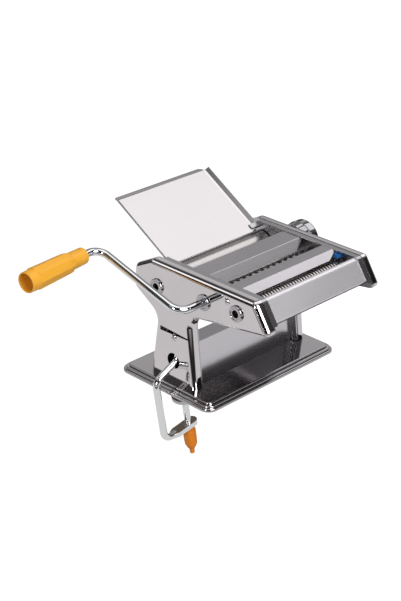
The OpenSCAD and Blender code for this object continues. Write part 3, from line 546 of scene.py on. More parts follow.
class Bench:
    """A piece on the bench, shaped with Blender's own operators."""

    def __init__(self, name: str) -> None:
        """Takes the object that was just added as the piece."""
        self.piece = bpy.context.active_object
        self.piece.name = name
        self.piece.data.name = name

    @staticmethod
    def clear() -> None:
        """Leaves edit mode and deselects everything."""
        if bpy.context.mode != "OBJECT":
            bpy.ops.object.mode_set(mode="OBJECT")
        bpy.ops.object.select_all(action="DESELECT")

    @classmethod
    def from_chain(cls, name: str, points: Sequence[Vector], closed: bool = False) -> "Bench":
        """A line of edges drawn point by point, filled where it is closed.

        Args:
            name: The piece's name.
            points: Places in metres.
            closed: Whether to join the ends and fill the outline.

        Returns:
            The piece, in edit mode.
        """
        cls.clear()
        bpy.ops.mesh.primitive_plane_add(size=2 * MM)
        made = cls(name)
        made.pick(Pick.POINT, everywhere)
        bpy.ops.mesh.merge(type="CENTER")
        bpy.ops.transform.translate(value=points[0])
        for here, there in zip(points, points[1:]):
            bpy.ops.mesh.extrude_vertices_move(TRANSFORM_OT_translate={"value": there - here})
        if closed:
            bpy.ops.mesh.select_all(action="SELECT")
            bpy.ops.mesh.edge_face_add()
        return made

    @classmethod
    def from_sheet(cls, name: str, low: Corner, high: Corner) -> "Bench":
        """A flat rectangle between two corners.

        Args:
            name: The piece's name.
            low: Its low corner.
            high: Its high corner, at the same height.

        Returns:
            The piece, in edit mode.
        """
        cls.clear()
        centre = (mm(*low) + mm(*high)) / 2
        bpy.ops.mesh.primitive_plane_add(size=1.0, location=centre)
        made = cls(name)
        made.piece.scale = (*((mm(*high) - mm(*low)).xy), 1.0)
        made.settle()
        made.edit()
        return made

    @classmethod
    def from_block(cls, name: str, low: Corner, high: Corner) -> "Bench":
        """A block between two corners.

        Args:
            name: The piece's name.
            low: Its low corner.
            high: Its high corner.

        Returns:
            The piece, in edit mode.
        """
        cls.clear()
        bpy.ops.mesh.primitive_cube_add(size=1.0, location=(mm(*low) + mm(*high)) / 2)
        made = cls(name)
        made.piece.scale = mm(*high) - mm(*low)
        made.settle()
        made.edit()
        return made

    @classmethod
    def from_bar(cls, name: str, radius: float, low: float, high: float, sides: int = 48) -> "Bench":
        """A straight bar along Z.

        Args:
            name: The piece's name.
            radius: Its radius.
            low: Where it starts.
            high: Where it ends.
            sides: Sides round it.

        Returns:
            The piece, in edit mode.
        """
        cls.clear()
        bpy.ops.mesh.primitive_cylinder_add(vertices=sides, radius=radius * MM, depth=(high - low) * MM,
                                            location=(0, 0, (low + high) / 2 * MM))
        made = cls(name)
        made.settle()
        made.edit()
        return made

    @classmethod
    def turned(cls, name: str, profile: Sequence[tuple[float, float]], steps: int = 64) -> "Bench":
        """A profile turned about Z, as on a lathe.

        Args:
            name: The piece's name.
            profile: Radius and height of each point; a line that starts or ends on the axis, or is closed.
            steps: Steps round the axis.

        Returns:
            The piece, in edit mode.
        """
        made = cls.from_chain(name, [mm(r, 0, z) for r, z in profile])
        bpy.ops.mesh.select_all(action="SELECT")
        bpy.ops.mesh.spin(steps=steps, angle=2 * math.pi, center=(0, 0, 0), axis=(0, 0, 1))
        made.mend()
        return made

    @classmethod
    def bent_rod(cls, name: str, path: Sequence[Vector], bend: float, radius: float) -> "Bench":
        """A round rod pushed along each length of a path and spun round each bend.

        Args:
            name: The piece's name.
            path: Corners of the rod's middle line, in metres.
            bend: Radius of the middle line at the bends.
            radius: Radius of the rod.

        Returns:
            The piece, in edit mode.
        """
        cls.clear()
        ways = [(b - a).normalized() for a, b in zip(path, path[1:])]
        bpy.ops.mesh.primitive_circle_add(vertices=40, radius=radius * MM, fill_type="NOTHING")
        made = cls(name)
        made.settle(path[0], ways[0])
        made.pick(Pick.POINT, everywhere)
        cuts = [0.0] + [bend * MM * math.tan(a.angle(b) / 2) for a, b in zip(ways, ways[1:])] + [0.0]
        for i, way in enumerate(ways):
            length = (path[i + 1] - path[i]).length - cuts[i] - cuts[i + 1]
            bpy.ops.mesh.extrude_region_move(TRANSFORM_OT_translate={"value": way * length})
            if i + 1 < len(ways):
                axis = way.cross(ways[i + 1]).normalized()
                centre = path[i + 1] - way * cuts[i + 1] + axis.cross(way) * bend * MM
                bpy.ops.mesh.spin(steps=12, angle=-way.angle(ways[i + 1]), center=centre, axis=axis)
        bpy.ops.mesh.select_all(action="SELECT")
        bpy.ops.mesh.fill_holes(sides=0)
        made.mend()
        return made

    @classmethod
    def folded(cls, name: str, path: Sequence[Corner], half: float, out: Corner) -> "Bench":
        """A thin sheet folded along X.

        Args:
            name: The piece's name.
            path: Its section as places in Y and Z, each with the radius of its fold.
            half: Half its width along X.
            out: The way its first face looks.

        Returns:
            The piece, in edit mode.
        """
        line = rounded(path, 4, closed=False)
        made = cls.from_chain(name, [mm(half, p.x, p.y) for p in line])
        made.pick(Pick.EDGE, everywhere)
        made.push(-2 * half, 0, 0)
        made.look(Vector(out))
        return made

    def edit(self, kind: Pick = Pick.FACE) -> None:
        """Goes to edit mode on this piece.

        Args:
            kind: What is going to be selected.
        """
        bpy.context.view_layer.objects.active = self.piece
        self.piece.select_set(True)
        if bpy.context.mode != "EDIT_MESH":
            bpy.ops.object.mode_set(mode="EDIT")
        bpy.ops.mesh.select_mode(type=kind.value)

    def pick(self, kind: Pick, test: Callable[[Vector], bool], facing: Corner | None = None) -> int:
        """Selects by place, and faces also by the way they look.

        Args:
            kind: Points, edges or faces.
            test: Tells whether a place in millimetres belongs; an edge needs both its ends.
            facing: The way a face must look.

        Returns:
            How many were selected.
        """
        self.edit(kind)
        mesh = bmesh.from_edit_mesh(self.piece.data)
        for group in (mesh.verts, mesh.edges, mesh.faces):
            for part in group:
                part.select = False
        if kind is Pick.POINT:
            chosen = [v for v in mesh.verts if test(v.co / MM)]
        elif kind is Pick.EDGE:
            chosen = [e for e in mesh.edges if all(test(v.co / MM) for v in e.verts)]
        else:
            mesh.normal_update()
            chosen = [f for f in mesh.faces if test(f.calc_center_median() / MM)
                      and (facing is None or f.normal.dot(Vector(facing)) > 0.9)]
        for part in chosen:
            part.select_set(True)
        mesh.select_flush_mode()
        bmesh.update_edit_mesh(self.piece.data)
        return len(chosen)

    def look(self, way: Vector, test: Callable[[Vector], bool] = everywhere) -> None:
        """Turns all faces over where the first one that passes looks away from a direction.

        Args:
            way: The direction.
            test: Tells whether a face's middle in millimetres belongs.
        """
        self.pick(Pick.FACE, everywhere)
        mesh = bmesh.from_edit_mesh(self.piece.data)
        mesh.normal_update()
        first = next(f for f in mesh.faces if test(f.calc_center_median() / MM))
        if first.normal.dot(way) < 0:
            bpy.ops.mesh.flip_normals()

    def copy(self) -> "Bench":
        """A copy of the piece with its own mesh.

        Returns:
            The copy, where the piece is.
        """
        self.clear()
        self.piece.select_set(True)
        bpy.context.view_layer.objects.active = self.piece
        bpy.ops.object.duplicate(linked=False)
        return Bench(self.piece.name)

    def mirrored(self) -> "Bench":
        """A mirrored copy for the other side of the machine.

        Returns:
            The copy, with its faces turned outwards again.
        """
        made = self.copy()
        made.settle(Vector(), turn=Matrix.Scale(-1, 3, Vector((1, 0, 0))))
        made.pick(Pick.FACE, everywhere)
        bpy.ops.mesh.flip_normals()
        return made

    def mend(self) -> None:
        """Merges doubles and turns every face outwards."""
        self.pick(Pick.FACE, everywhere)
        bpy.ops.mesh.remove_doubles(threshold=0.002 * MM)
        bpy.ops.mesh.normals_make_consistent(inside=False)

    def push(self, x: float, y: float, z: float) -> None:
        """Extrudes what is selected."""
        bpy.ops.mesh.extrude_region_move(TRANSFORM_OT_translate={"value": mm(x, y, z)})

    def move(self, x: float, y: float, z: float) -> None:
        """Moves what is selected."""
        bpy.ops.transform.translate(value=mm(x, y, z))

    def resize(self, share: Corner, centre: Corner) -> None:
        """Scales what is selected about a place."""
        bpy.ops.transform.resize(value=share, center_override=mm(*centre))

    def inset(self, width: float) -> None:
        """Insets the selected faces."""
        bpy.ops.mesh.inset(thickness=width * MM, depth=0.0)

    def round(self, width: float, steps: int = 3, points: bool = False) -> None:
        """Rounds the selected edges, or the selected points of a flat outline.

        Args:
            width: Width of the rounding.
            steps: Steps across it.
            points: Whether points are rounded instead of edges.
        """
        bpy.ops.mesh.bevel(offset=width * MM, segments=steps, profile=0.5,
                           affect="VERTICES" if points else "EDGES", clamp_overlap=True)

    def drop_faces(self) -> None:
        """Deletes the selected faces."""
        bpy.ops.mesh.delete(type="FACE")

    def modify(self, kind: str, **settings: object) -> None:
        """Adds a modifier and applies it.

        Args:
            kind: The modifier's type.
            **settings: Its settings.
        """
        self.clear()
        self.piece.select_set(True)
        bpy.context.view_layer.objects.active = self.piece
        modifier = self.piece.modifiers.new(kind.title(), kind)
        for name, value in settings.items():
            setattr(modifier, name, value)
        bpy.ops.object.modifier_apply(modifier=modifier.name)

    def wall(self, thickness: float) -> None:
        """Gives a sheet its thickness, inwards."""
        self.modify("SOLIDIFY", thickness=thickness * MM, offset=-1.0, use_even_offset=True,
                    use_quality_normals=True)

    def soften(self, width: float, angle: float = 40.0, steps: int = 2) -> None:
        """Rounds every sharp edge a little.

        Args:
            width: Width of the rounding.
            angle: Edges sharper than this are rounded.
            steps: Steps across the rounding.
        """
        self.modify("BEVEL", width=width * MM, segments=steps, limit_method="ANGLE",
                    angle_limit=math.radians(angle), harden_normals=False)

    def cut(self, *tools: "Bench") -> None:
        """Cuts other pieces out of this one and throws them away."""
        for tool in tools:
            self.clear()
            self.modify("BOOLEAN", operation="DIFFERENCE", solver="EXACT", object=tool.piece)
            bpy.data.objects.remove(tool.piece)

    def join(self, *others: "Bench") -> None:
        """Makes other pieces part of this one."""
        self.clear()
        for other in others:
            other.piece.select_set(True)
        self.piece.select_set(True)
        bpy.context.view_layer.objects.active = self.piece
        bpy.ops.object.join()

    def settle(self, at: Vector | None = None, axis: Vector | None = None, turn: Matrix | None = None) -> None:
        """Places the piece and puts its place into its mesh.

        Args:
            at: Where its origin goes, in metres.
            axis: The way its Z axis goes.
            turn: A turn to use instead of the axis.
        """
        self.clear()
        self.piece.select_set(True)
        bpy.context.view_layer.objects.active = self.piece
        if at is not None:
            spun = turn or (axis or Vector((0, 0, 1))).to_track_quat("Z", "Y").to_matrix()
            self.piece.matrix_world = Matrix.Translation(at) @ spun.to_4x4() @ self.piece.matrix_world
        bpy.ops.object.transform_apply(location=True, rotation=True, scale=True)

    def done(self, body: str, slot: str, nodes: Sequence[str] = (), angle: float = 32.0,
             finish: Finish | None = None) -> bpy.types.Object:
        """Shades, dresses and hands over the finished piece.

        Args:
            body: The CAD body that it rides on.
            slot: The record's material slot.
            nodes: The CAD nodes that it stands for.
            angle: Edges sharper than this stay sharp.
            finish: The finish, where it isn't the slot's own.

        Returns:
            The finished object.
        """
        self.clear()
        self.piece.select_set(True)
        bpy.context.view_layer.objects.active = self.piece
        bpy.ops.object.shade_smooth_by_angle(angle=math.radians(angle))
        self.modify("WEIGHTED_NORMAL", keep_sharp=True)
        self.piece.data.materials.clear()
        self.piece.data.materials.append((finish or SLOT_FINISH[slot]).material())
        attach(self.piece, body)
        if nodes:
            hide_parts(*nodes)
        LOG.info("%s rides on %s, %d faces", self.piece.name, body, len(self.piece.data.polygons))
        return self.piece


def drill(at: tuple[float, float], radius: float, x: float, length: float) -> Bench:
    """A bar along X that a hole is cut with.

    Args:
        at: Its middle, as Y and Z.
        radius: Radius of the hole.
        x: Where its middle is along X.
        length: Its length.

    Returns:
        The bar.
    """
    tool = Bench.from_bar("drill", radius, -length / 2, length / 2)
    tool.settle(mm(x, *at), Vector((1, 0, 0)))
    return tool


@dataclass
class Base:
    """The pressed shell of the base, with its beaded rim."""

    width: float = 206.0
    depth: float = 138.0
    corner: float = 12.0
    lift: float = 0.5
    bead_top: float = 4.0
    step_top: float = 6.25
    top: float = 8.5
    step_in: float = 2.5
    top_in: float = 6.0
    sheet: float = 1.2

    def inset_at(self, place: Vector) -> float:
        """How far inside the rim's outer edge a place is."""
        x = abs(place.x) - (self.width / 2 - self.corner)
        y = abs(place.y) - (self.depth / 2 - self.corner)
        return self.corner - math.hypot(max(x, 0), max(y, 0)) - min(max(x, y), 0)

    def loop(self, height: float, inset: float) -> Callable[[Vector], bool]:
        """A test for one line round the rim.

        Args:
            height: The line's height.
            inset: Its distance inside the outer edge.

        Returns:
            The test.
        """
        return lambda p: abs(p.z - height) < 0.02 and abs(self.inset_at(p) - inset) < 0.3

    def build(self) -> None:
        """Pushes the rim up in steps, rounds its beads and gives it its sheet."""
        x, y = self.width / 2, self.depth / 2
        shell = Bench.from_sheet("base_shell_pressed", (-x, -y, self.lift), (x, y, self.lift))
        shell.pick(Pick.POINT, everywhere)
        shell.round(self.corner, 10, points=True)
        shell.pick(Pick.FACE, everywhere)
        shell.push(0, 0, self.bead_top - self.lift)
        shell.inset(self.step_in)
        shell.push(0, 0, self.step_top - self.bead_top)
        shell.inset(self.top_in - self.step_in)
        shell.push(0, 0, self.top - self.step_top)
        shell.mend()
        shell.pick(Pick.FACE, lambda p: p.z < self.lift + 0.02, facing=(0, 0, -1))
        shell.drop_faces()
        for height, inset, width in ((self.bead_top, 0.0, 1.7), (self.step_top, self.step_in, 1.2),
                                     (self.top, self.top_in, 1.4)):
            shell.pick(Pick.EDGE, self.loop(height, inset))
            shell.round(width, 5)
        shell.wall(self.sheet)
        shell.done("frame", "base_chrome", ["base_shell"], angle=50)


@dataclass
class SideCovers:
    """The two pressed side covers, their bush rings and their screws."""

    rim: float = 78.0
    face: float = 89.0
    sheet: float = 1.2
    edge: float = 6.0
    shaft: float = 5.65
    ring: float = 9.0
    ring_out: float = 2.5
    slit_z: float = 66.5

    def build(self) -> None:
        """Makes both covers with all that shows on them."""
        sockets = [FIXED_ROLLER, WIDE_CUTTER, NARROW_CUTTER]
        knob_side = self.blank()
        crank_side = knob_side.mirrored()
        holes = [(at, self.shaft + 1.5) for at in sockets] + [((-2.0, 33.5), 9.0)]
        crank_side.cut(self.slit(), *[drill(at, radius, -self.face, 8.0) for at, radius in holes])
        knob_side.cut(drill(ADJUST_ROLLER, 8.0, self.face, 8.0))
        for side, shell in (("crank", crank_side), ("knob", knob_side)):
            shell.piece.name = shell.piece.data.name = f"side_cover_{side}_pressed"
            shell.done("frame", "cover_chrome", [f"side_cover_{side}"], angle=40)
        self.rings(sockets)
        self.screws()

    def blank(self) -> Bench:
        """A pressed cover for the knob's side, without its holes.

        Returns:
            The cover, with its wall.
        """
        turns = [math.radians(90 * i / 8) for i in range(9)]
        levels = [(self.rim, 0.0)] + [(self.face - self.edge * (1 - math.sin(t)), self.edge * (1 - math.cos(t)))
                                      for t in turns]
        rings = []
        for x, inset in levels:
            outline = rounded(drawn_in(COVER_OUTLINE, inset, 0.0), 8)
            rings.append(Bench.from_chain("side_cover", [mm(x, p.x, p.y) for p in outline], closed=True))
            bpy.ops.mesh.delete(type="ONLY_FACE")
        shell = rings[0]
        shell.join(*rings[1:])
        for (low, _), (high, _) in zip(levels, levels[1:]):
            shell.pick(Pick.EDGE, lambda p: min(abs(p.x - low), abs(p.x - high)) < 0.005)
            bpy.ops.mesh.bridge_edge_loops()
        shell.pick(Pick.EDGE, lambda p: abs(p.x - self.face) < 0.005)
        bpy.ops.mesh.edge_face_add()
        shell.mend()
        shell.look(Vector((1, 0, 0)), lambda p: abs(p.x - self.face) < 0.005)
        shell.wall(self.sheet)
        return shell

    def slit(self) -> Bench:
        """The tapered block that the slit across the crank's leg is cut with.

        Returns:
            The block.
        """
        low, high = self.slit_z - 2.6, self.slit_z + 2.6
        tool = Bench.from_block("slit", (-self.face - 4, -24.0, low), (-self.face + 4, 18.0, high))
        tool.pick(Pick.POINT, lambda p: p.y < 0)
        tool.resize((1, 1, 0.32), (0, -24.0, self.slit_z - 0.4))
        return tool

    def rings(self, sockets: Sequence[tuple[float, float]]) -> None:
        """The bush rings that stand on the crank's side, one turned and two copied.

        Args:
            sockets: Where they are.
        """
        bore, out, flat = self.shaft + 0.08, self.ring, self.ring_out
        profile = [(bore, -1.5), (bore, flat - 0.8), (bore + 0.5, flat - 0.2), (bore + 1.0, flat),
                   (out - 1.2, flat), (out - 0.6, flat - 0.15), (out - 0.2, flat - 0.6), (out, flat - 1.3),
                   (out, 0.0), (bore + 1.5, 0.0), (bore + 1.5, -1.5), (bore, -1.5)]
        ring = Bench.turned("drive_rings_turned", profile)
        copies = [ring.copy() for _ in sockets[1:]]
        for made, at in zip([ring, *copies], sockets):
            made.settle(mm(-self.face, *at), Vector((-1, 0, 0)))
        ring.join(*copies)
        ring.done("frame", "cover_chrome", ["drive_rings"], finish=KNOB_CHROME_SHADE_PAINTED)

    def screws(self) -> None:
        """The domed screws with their crossed slots, one made and three copied."""
        profile = [(0.0, 1.75), (1.2, 1.66), (2.4, 1.3), (3.4, 0.7), (4.0, 0.0), (2.0, 0.0), (2.0, -8.0), (0.0, -8.0)]
        screw = Bench.turned("cover_screws_domed", profile, 40)
        for size in ((2.3, 0.35), (0.35, 2.3)):
            screw.cut(Bench.from_block("slot", (-size[0], -size[1], 0.8), (size[0], size[1], 3.0)))
        places = [(side, at) for side in (-1, 1) for at in COVER_SCREWS]
        copies = [screw.copy() for _ in places[1:]]
        for made, (side, at) in zip([screw, *copies], places):
            made.settle(mm(side * self.face, *at), Vector((side, 0, 0)))
        screw.join(*copies)
        screw.done("frame", "cover_chrome", ["cover_screws"])


@dataclass
class SheetWork:
    """The folded sheets between the frames."""

    half: float = FRAME_INSIDE
    sheet: float = 1.0
    end_cut: float = 20.0
    top: float = 139.27
    lip: float = 3.0

    def build(self) -> None:
        """Makes the guide plates, the front cover, the lower panel and the throat's cheek."""
        self.guide("guide_plate_rear", (-10.5608, -35.5608), (-44.2608, 129.5755))
        self.guide("guide_plate_front", (-67.3608, -81.8608), (-90.5608, 133.1381))
        self.front_cover()
        self.panel()
        self.cheek()

    def guide(self, node: str, flat: tuple[float, float], low: tuple[float, float]) -> None:
        """One guide plate, its slope cut back at the knob's end.

        Args:
            node: The CAD node that it stands for.
            flat: Where the flat starts and ends along Y.
            low: The slope's lower edge, as Y and Z.
        """
        path = [(flat[0], self.top - self.lip, 0), (flat[0], self.top, 1.0), (flat[1], self.top, 1.2), (*low, 0)]
        plate = Bench.folded(node + "_folded", path, self.half, (0, 1, 0))
        plate.pick(Pick.POINT, lambda p: p.x > 0 and abs(p.y - low[0]) < 0.05)
        plate.move(-self.end_cut, 0, 0)
        plate.wall(self.sheet)
        plate.soften(0.2)
        plate.done("frame", "plate_steel", [node], finish=GUIDE_STEEL)

    def front_cover(self) -> None:
        """The cover over the nose, with its folded edges."""
        (y, z, radius), tip = drawn_in(COVER_OUTLINE, 1.73, 1.73)[1:3]
        low = Vector((y, z)) + 0.77 * (Vector(tip[:2]) - Vector((y, z)))
        path = [(-110.8608, z, 0), (y, z, radius), (low.x, low.y, 1.2), (low.x + 5.0, low.y - 1.25, 0)]
        cover = Bench.folded("front_cover_folded", path, self.half, (0, 0, 1))
        cover.wall(self.sheet)
        cover.soften(0.2)
        cover.done("frame", "plate_steel", ["front_cover"], finish=NOSE_STEEL_LIGHT_PAINTED)

    def panel(self) -> None:
        """The lower panel, with its folded strip along the top."""
        path = [(-16.2233, 68.0, 0), (-20.8233, 56.5, 2.5), (-26.6, 8.6, 0)]
        panel = Bench.folded("front_panel_folded", path, self.half, (0, -1, 0))
        panel.wall(self.sheet)
        panel.soften(0.2)
        panel.done("frame", "plate_steel", ["front_panel"])

    def cheek(self) -> None:
        """The small plastic cheek at the far end of the narrow throat."""
        cheek = Bench.from_block("throat_cheek_moulded", (66.1, -92.86, 133.14), (self.half, -86.86, 137.77))
        cheek.pick(Pick.FACE, everywhere, facing=(0, 0, 1))
        cheek.inset(1.2)
        cheek.push(0, 0, -1.0)
        cheek.soften(0.4, steps=3)
        cheek.done("frame", "blue_plastic", ["throat_cheeks"])


@dataclass
class FeedTray:
    """The loose tray that the dough slides down."""

    half: float = 66.5
    length: float = 95.5
    side: float = 6.0
    start: float = 9.8
    lip: float = 8.0
    slope: float = 30.8
    sheet: float = 1.0
    at: tuple[float, float] = (24.8, 130.4)

    def build(self) -> None:
        """Folds the sides and the lip up from a flat sheet, then leans it into place."""
        tray = Bench.from_sheet("feed_tray_folded", (-self.half, 0, 0), (self.half, self.length, 0))
        tray.pick(Pick.FACE, everywhere)
        bpy.ops.mesh.bisect(plane_co=mm(0, self.start, 0), plane_no=(0, 1, 0))
        flare = self.side * math.sqrt(0.5)
        for side in (-1, 1):
            tray.pick(Pick.EDGE, lambda p: abs(p.x - side * self.half) < 0.02 and p.y > self.start - 0.1)
            tray.push(side * flare, 0, flare)
        tray.pick(Pick.EDGE, lambda p: abs(p.y - self.length) < 0.02 and abs(p.z) < 0.02)
        lean = math.radians(self.slope)
        tray.push(0, self.lip * math.cos(lean), -self.lip * math.sin(lean))
        for side in (-1, 1):
            tray.pick(Pick.POINT, lambda p: p.y > self.length + 1 and side * p.x > 0)
            tray.round(5.0, 6, points=True)
            tray.pick(Pick.EDGE, lambda p: abs(p.x - side * self.half) < 0.02 and abs(p.z) < 0.02
                      and self.start - 0.1 < p.y < self.length + 0.1)
            tray.round(1.5, 3)
        tray.look(Vector((0, 0, 1)))
        tray.wall(self.sheet)
        tray.soften(0.2)
        tray.settle(mm(0, *self.at), turn=Matrix.Rotation(lean, 3, "X"))
        tray.done("tray", "tray_steel", ["feed_tray"])


@dataclass
class RegulatorKnob:
    """The thickness knob with its fluted skirt and domed cap."""

    start: float = 91.7
    skirt: float = 20.5
    skirt_len: float = 10.0
    radius: float = 21.5
    body_end: float = 19.0
    length: float = 24.0
    flutes: int = 24

    def build(self) -> None:
        """Turns the skirt, scallops its flutes and domes the cap."""
        self.knob()
        self.cap()

    def knob(self) -> None:
        """The skirt and the band above it."""
        sides = self.flutes * 6
        knob = Bench.from_bar("regulator_knob_fluted", self.skirt, 0.0, self.skirt_len, sides)
        knob.pick(Pick.FACE, everywhere, facing=(0, 0, 1))
        knob.push(0, 0, 0)
        knob.resize((self.radius / self.skirt,) * 2 + (1,), (0, 0, self.skirt_len))
        knob.push(0, 0, self.body_end - self.skirt_len)
        knob.inset(12.5)
        knob.push(0, 0, -8.0)
        pitch = 2 * math.pi / self.flutes
        for share, depth in ((0.0, 0.945), (1 / 6, 0.965)):
            def in_flute(p: Vector) -> bool:
                """Whether a point of the skirt lies this far from a flute's middle."""
                off = (math.atan2(p.y, p.x) / pitch + 0.5) % 1.0 - 0.5
                return p.z < self.skirt_len - 1.0 and p.xy.length > 18 and abs(abs(off) - share) < 0.02
            knob.pick(Pick.POINT, in_flute)
            knob.resize((depth, depth, 1), (0, 0, 0))
        knob.soften(0.5, 50, 3)
        knob.settle(mm(self.start, *ADJUST_ROLLER), Vector((1, 0, 0)))
        knob.done("knob", "cover_chrome", ["regulator_knob"], angle=30, finish=KNOB_CHROME_SHADE_PAINTED)

    def cap(self) -> None:
        """The domed cap on the knob's end."""
        rim, top, end = self.radius, self.length, self.body_end
        profile = [(0, top), (6, top - 0.05), (11, top - 0.3), (15, top - 0.8), (rim - 3, top - 1.9), (rim - 1.2, top - 3.2),
                   (rim - 0.3, top - 4.2), (rim, end), (9.0, end), (9.0, end - 1.2), (0, end - 1.2)]
        cap = Bench.turned("knob_cap_domed", profile, 96)
        cap.settle(mm(self.start, *ADJUST_ROLLER), Vector((1, 0, 0)))
        cap.done("knob", "cover_chrome", ["knob_cap"], finish=KNOB_CHROME_SHADE_PAINTED)


@dataclass
class Crank:
    """The crank's rod and its plastic grip."""

    socket_x: float = -68.8
    arm_x: float = -124.0
    arm: float = 125.0
    angle: float = 15.4
    lean: float = 5.3
    bend: float = 14.0
    radius: float = 4.25
    rod_end: float = 58.8
    grip_start: float = 23.0
    grip_len: float = 83.0
    grip_r: float = 12.75
    neck_len: float = 21.0
    shoulder_len: float = 8.5
    collar_len: float = 11.0
    hold: float = 34.0

    def corners(self) -> tuple[Vector, Vector]:
        """Where the grip's bend is, and the way the grip goes.

        Returns:
            The corner in metres, and the grip's direction.
        """
        tilt, lean = math.radians(self.angle), math.radians(self.lean)
        up = Vector((0, math.cos(tilt), math.sin(tilt)))
        corner = mm(self.arm_x, *WIDE_CUTTER) + up * self.arm * MM
        return corner, Vector((-math.cos(lean), 0, 0)) - up * math.sin(lean)

    def build(self) -> None:
        """Makes the rod and the grip."""
        self.rod()
        self.grip()

    def rod(self) -> None:
        """The bent rod, with the flat tongue that drives a roller."""
        corner, way = self.corners()
        path = [mm(self.socket_x, *WIDE_CUTTER), mm(self.arm_x, *WIDE_CUTTER), corner,
                corner + way * self.rod_end * MM]
        rod = Bench.bent_rod("crank_rod_bent", path, self.bend, self.radius)
        y, z = WIDE_CUTTER
        tongue = Bench.from_block("tongue", (self.socket_x - 0.5, y - 3.4, z - 2.5),
                                  (self.socket_x + 6.5, y + 3.4, z + 2.5))
        tongue.soften(0.4)
        rod.join(tongue)
        rod.done("crank", "crank_chrome", ["crank_rod"])

    def grip(self) -> None:
        """The grip: a round core with its hollow end, and the flats that stand on it."""
        corner, way = self.corners()
        r, neck_end = self.grip_r, self.neck_len
        body, end = self.neck_len + self.shoulder_len, self.grip_len - self.collar_len
        bore = self.radius + 0.08
        profile = [(bore, 0.0), (7.9, 0.0), (8.7, 0.3), (9.1, 1.0), (9.6, neck_end), (r - 1.7, body),
                   (r - 1.4, body + 2), (r - 1.4, end), (r - 1.25, end + 1), (r - 1.5, self.grip_len - 0.8),
                   (r - 1.8, self.grip_len - 0.2), (r - 2.3, self.grip_len), (r - 2.8, self.grip_len - 0.2),
                   (r - 3.1, self.grip_len - 0.8), (7.3, self.hold + 2.0), (7.3, self.hold),
                   (bore, self.hold), (bore, 0.0)]
        grip = Bench.turned("crank_grip_moulded", profile, 72)
        flats = Bench.from_bar("flats", r, neck_end + 1.0, end, 8)
        flats.pick(Pick.FACE, lambda p: p.z < neck_end + 1.1, facing=(0, 0, -1))
        flats.resize((0.885, 0.885, 1), (0, 0, 0))
        flats.edit()
        flats.pick(Pick.FACE, everywhere)
        bpy.ops.mesh.bisect(plane_co=mm(0, 0, body - 3.0), plane_no=(0, 0, 1))
        flats.pick(Pick.POINT, lambda p: abs(p.z - body + 3.0) < 0.1)
        flats.resize((1.03, 1.03, 1), (0, 0, 0))
        flats.soften(0.8, 20, 3)
        flats.cut(Bench.from_bar("hollow", 9.4, 0.0, self.grip_len, 48))
        grip.join(flats)
        grip.settle(corner + way * self.grip_start * MM, way)
        grip.done("grip", "grip_orange", ["crank_grip"], angle=28)


